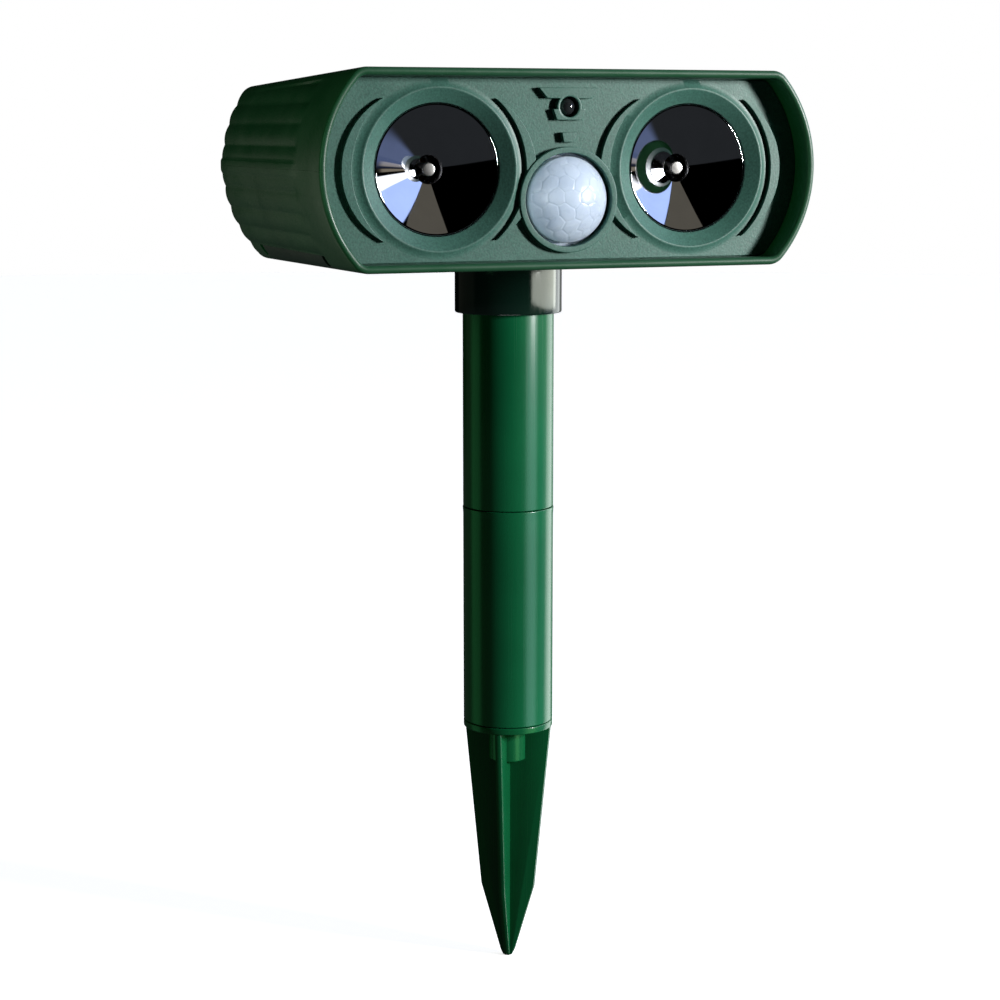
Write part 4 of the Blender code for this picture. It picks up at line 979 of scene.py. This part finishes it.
def make_spike():
    profile = [
        (0, HUB_BOTTOM), (HUB_RADIUS, HUB_BOTTOM), (HUB_RADIUS, 0.0), (TUBE_RADIUS, 0.0),
        (TUBE_RADIUS, FLANGE_TOP), (SPIGOT[0], FLANGE_TOP), (SPIGOT[0], FLANGE_TOP + SPIGOT_LENGTH),
        (SPIGOT[1], FLANGE_TOP + SPIGOT_LENGTH), (SPIGOT[1], FLANGE_TOP + 1.0), (0, FLANGE_TOP + 1.0),
    ]
    spike = turned("spike", rounded(profile, {1: 0.6, 3: 0.4, 4: 0.4, 6: 0.5}), axis="Z", segments=128)
    fins = []
    for i in range(2):
        sections = []
        for y, inset in ((-FIN / 2, 0.3), (-FIN / 2 + 0.09, 0.09), (-FIN / 2 + 0.3, 0.0),
                         (FIN / 2 - 0.3, 0.0), (FIN / 2 - 0.09, 0.09), (FIN / 2, 0.3)):
            sections.append([(x, y, z) for x, z in fin_outline(inset)])
        fin = loft("fin", sections)
        fin.data.transform(Matrix.Rotation(math.pi / 2 * (i + 1) - SPIKE_TURN, 4, "Z"))
        fins.append(fin)
    boolean(spike, "UNION", *fins)
    place(spike, "spike", "gloss_green", "ground_spike")


# ---------------------------------------------------------------- everything else


def refine_rest():
    """Stands a welded, smoothed copy with softened edges in for every CAD node still showing."""
    slots = {part["node"]: part["material_slot"] for part in frame["record"]["subparts"]}
    bodies = frame["record"]["behaviour"]["bodies"]
    owner = {node: body for body, nodes in bodies.items() for node in nodes}
    for node, source in sorted(frame["nodes"].items()):
        if source.hide_render:
            continue
        mesh = source.data.copy()
        bm = bmesh.new()
        bm.from_mesh(mesh)
        bmesh.ops.remove_doubles(bm, verts=bm.verts, dist=2e-6)
        bmesh.ops.dissolve_limit(bm, angle_limit=math.radians(0.5), verts=bm.verts, edges=bm.edges)
        bmesh.ops.recalc_face_normals(bm, faces=bm.faces)
        bm.to_mesh(mesh)
        bm.free()
        if "custom_normal" in mesh.attributes:
            mesh.attributes.remove(mesh.attributes["custom_normal"])
        copy = bpy.data.objects.new(f"{node}_finished", mesh)
        bpy.context.scene.collection.objects.link(copy)
        size = min(copy.dimensions)
        if "lead" in node or "spring" in node:
            mesh.shade_smooth()
        else:
            soften(copy, min(0.2, size / MM * 0.08), 2)
        place(copy, owner[node], slots[node], node)


# ---------------------------------------------------------------- studio


# azimuths to the right of the front, heights and softness in degrees, then colour and strength
STUDIO = (
    ((-180.0, 180.0), (-90.0, -10.0), 1.5, (0.9, 0.98, 1.05), 0.03),  # dark ground
    ((70.0, 94.0), (-22.0, -8.0), 7.0, (0.6, 0.8, 1.5), 0.2),  # soft blue patch near the ground
    ((72.0, 94.0), (-6.0, -4.0), 0.8, (1.0, 0.85, 0.62), 0.35),  # lower warm strip
    ((72.0, 94.0), (-1.5, 0.0), 0.6, (1.0, 0.85, 0.62), 0.3),  # upper warm strip
    ((64.0, 77.0), (3.0, 10.5), 0.8, (1.0, 1.0, 1.0), 2.0),  # window
    ((78.0, 96.0), (7.5, 12.0), 0.8, (0.72, 0.95, 1.65), 1.1),  # foot of the blue wall
    ((58.5, 96.0), (11.2, 44.0), 0.8, (0.72, 0.95, 1.65), 1.1),  # blue wall
    ((17.0, 57.0), (35.0, 60.0), 0.8, (1.1, 1.0, 0.78), 0.125),  # warm ceiling
    ((97.0, 122.0), (-30.0, 40.0), 6.0, (0.95, 1.0, 1.0), 3.0),  # bright side wall
    ((-150.0, -104.0), (-5.0, 55.0), 10.0, (0.95, 1.0, 0.8), 0.04),  # faint fill on the left
    ((122.0, 150.0), (-5.0, 60.0), 10.0, (1.0, 1.0, 1.0), 0.35),  # behind, on the right
)
# name, (azimuths in degrees, z range and distance from the axis in mm), colour, radiance, and the
# pieces lit (all of them if none is named)
LAMPS = (
    ("key", ((42.5, 47.5), (210.0, 380.0), 850.0), (1.0, 1.0, 1.0), 240.0, ()),
    ("collar_strip", ((29.0, 98.0), (120.0, 175.0), 220.0), (0.95, 1.0, 0.88), 6.5, ("neck",)),
    ("pole_strip", ((26.0, 54.0), (-140.0, 150.0), 220.0), (0.55, 1.0, 0.95), 2.4,
     ("pole_upper", "pole_lower")),
    ("spike_strip", ((26.0, 54.0), (-140.0, 20.0), 220.0), (0.3, 1.0, 0.35), 1.8, ("spike",)),
    ("collar_edge", ((-45.0, 10.0), (-320.0, -90.0), 250.0), (1.0, 1.0, 1.0), 5.0, ("neck",)),
    ("pole_edge", ((-125.0, -95.0), (-140.0, 150.0), 220.0), (0.12, 1.0, 0.3), 0.5,
     ("pole_upper", "pole_lower", "spike")),
    ("side_fill", ((-150.0, -104.0), (-450.0, 250.0), 700.0), (1.0, 1.0, 0.85), 0.4,
     ("housing_top", "housing_bottom", "battery_cover")),
    ("lip_fill", ((-64.0, -54.0), (60.0, 330.0), 600.0), (0.3, 1.0, 0.45), 7.0,
     ("housing_top", "housing_bottom")),
    ("dome_fill", ((-70.0, -20.0), (100.0, 400.0), 500.0), (0.85, 0.95, 1.0), 3.6, ("sensor_dome",)),
)


def window(tree, value, low, high, soft):
    """1 where value is between low and high, falling to 0 over soft degrees on both sides."""
    edges = []
    for start, end in ((low - soft, low), (high + soft, high)):
        inputs = {"Value": value, "From Min": start, "From Max": end}
        edges.append(tree.add("MapRange", inputs, interpolation_type="SMOOTHSTEP").outputs["Result"])
    return tree.math("MULTIPLY", *edges)


def studio_light(tree):
    """Sum of the studio's patches, each a colour shown in its own window of directions."""
    split = tree.add("SeparateXYZ", {"Vector": tree.add("TexCoord").outputs["Generated"]})
    x, y, z = split.outputs
    azimuth = tree.math("MULTIPLY", tree.math("ARCTAN2", x, tree.math("MULTIPLY", y, -1.0)), 180 / math.pi)
    height = tree.math("MULTIPLY", tree.math("ARCSINE", z), 180 / math.pi)
    total = None
    for azimuths, heights, softness, colour, strength in STUDIO:
        across = window(tree, azimuth, *azimuths, softness)
        up = window(tree, height, *heights, softness)
        level = tree.math("MULTIPLY", tree.math("MULTIPLY", across, up), strength)
        patch = tree.add("VectorMath", {0: colour, "Scale": level}, operation="SCALE").outputs["Vector"]
        if total is None:
            total = patch
        else:
            total = tree.add("VectorMath", {0: total, 1: patch}, operation="ADD").outputs["Vector"]
    return total


def emission_world():
    """Dim studio seen in reflections; the camera itself sees plain white."""
    world = bpy.data.worlds.new("studio")
    bpy.context.scene.world = world
    world.use_nodes = True
    world.node_tree.nodes.clear()
    tree = Tree(world.node_tree)
    studio = tree.add("Background", {"Color": studio_light(tree)}).outputs["Background"]
    white = tree.add("Background", {"Color": (1.0, 1.0, 1.0, 1.0)}).outputs["Background"]
    camera_ray = tree.add("LightPath").outputs["Is Camera Ray"]
    mix = tree.add("MixShader", {"Fac": camera_ray, 1: studio, 2: white})
    tree.add("OutputWorld", {"Surface": mix.outputs["Shader"]})


def make_lamps():
    """Flat upright lamps facing the pole's axis, each lighting all pieces or only some."""
    for name, (azimuths, heights, distance), colour, radiance, lit in LAMPS:
        middle = math.radians(sum(azimuths) / 2)
        width = 2 * distance * math.tan(math.radians(azimuths[1] - azimuths[0]) / 2) * MM
        tall = (heights[1] - heights[0]) * MM
        light = bpy.data.lights.new(name, "AREA")
        light.shape = "RECTANGLE"
        light.size, light.size_y = width, tall
        light.color = colour
        light.energy = radiance * math.pi * width * tall
        lamp = bpy.data.objects.new(name, light)
        bpy.context.scene.collection.objects.link(lamp)
        out = Vector((math.sin(middle), -math.cos(middle), 0.0))
        lamp.location = out * distance * MM + Vector((0, 0, sum(heights) / 2 * MM))
        lamp.rotation_mode = "QUATERNION"
        lamp.rotation_quaternion = (-out).to_track_quat("-Z", "Y")
        lamp.visible_camera = False
        if lit:
            receivers = bpy.data.collections.new(f"{name}_receivers")
            for piece in lit:
                receivers.objects.link(bpy.data.objects[piece])
            lamp.light_linking.receiver_collection = receivers


def make_floor():
    """Pale floor under the spike's tip, seen by the camera but not by the other pieces."""
    bm = bmesh.new()
    bmesh.ops.create_circle(bm, cap_ends=True, radius=4000.0, segments=96)
    floor = finish_mesh("floor", bm)
    floor.location.z = (SPIKE_OUTLINE[-1][1] - 0.2) * MM
    material = bpy.data.materials.new("floor")
    material.use_nodes = True
    shader = material.node_tree.nodes["Principled BSDF"]
    shader.inputs["Base Color"].default_value = (0.9, 0.9, 0.9, 1.0)
    shader.inputs["Roughness"].default_value = 0.9
    shader.inputs["Emission Color"].default_value = (1.0, 1.0, 1.0, 1.0)
    shader.inputs["Emission Strength"].default_value = 0.8
    floor.data.materials.append(material)
    floor.visible_diffuse = floor.visible_glossy = floor.visible_transmission = False
    floor.visible_shadow = False


def make_camera():
    camera = bpy.data.objects.new("camera", bpy.data.cameras.new("camera"))
    bpy.context.scene.collection.objects.link(camera)
    turn, fall = math.radians(CAMERA_TURN), math.radians(CAMERA_FALL)
    ahead = Vector((math.sin(turn) * math.cos(fall), math.cos(turn) * math.cos(fall), -math.sin(fall)))
    camera.location = CAMERA_AT
    camera.rotation_mode = "QUATERNION"
    camera.rotation_quaternion = ahead.to_track_quat("-Z", "Y")
    camera.data.lens = CAMERA_LENS
    camera.data.sensor_width = 36.0
    camera.data.clip_start = 0.02
    camera.data.clip_end = 30.0
    bpy.context.scene.camera = camera


make_camera()
make_floor()
emission_world()
bpy.context.scene.view_settings.view_transform = "Standard"
make_upper_shell()
make_lower_shell()
make_battery_door()
make_front_panel()
make_horns()
make_sensor_dome()
make_led()
make_knobs()
make_solar()
make_collar()
make_tubes()
make_spike()
refine_rest()
make_lamps()
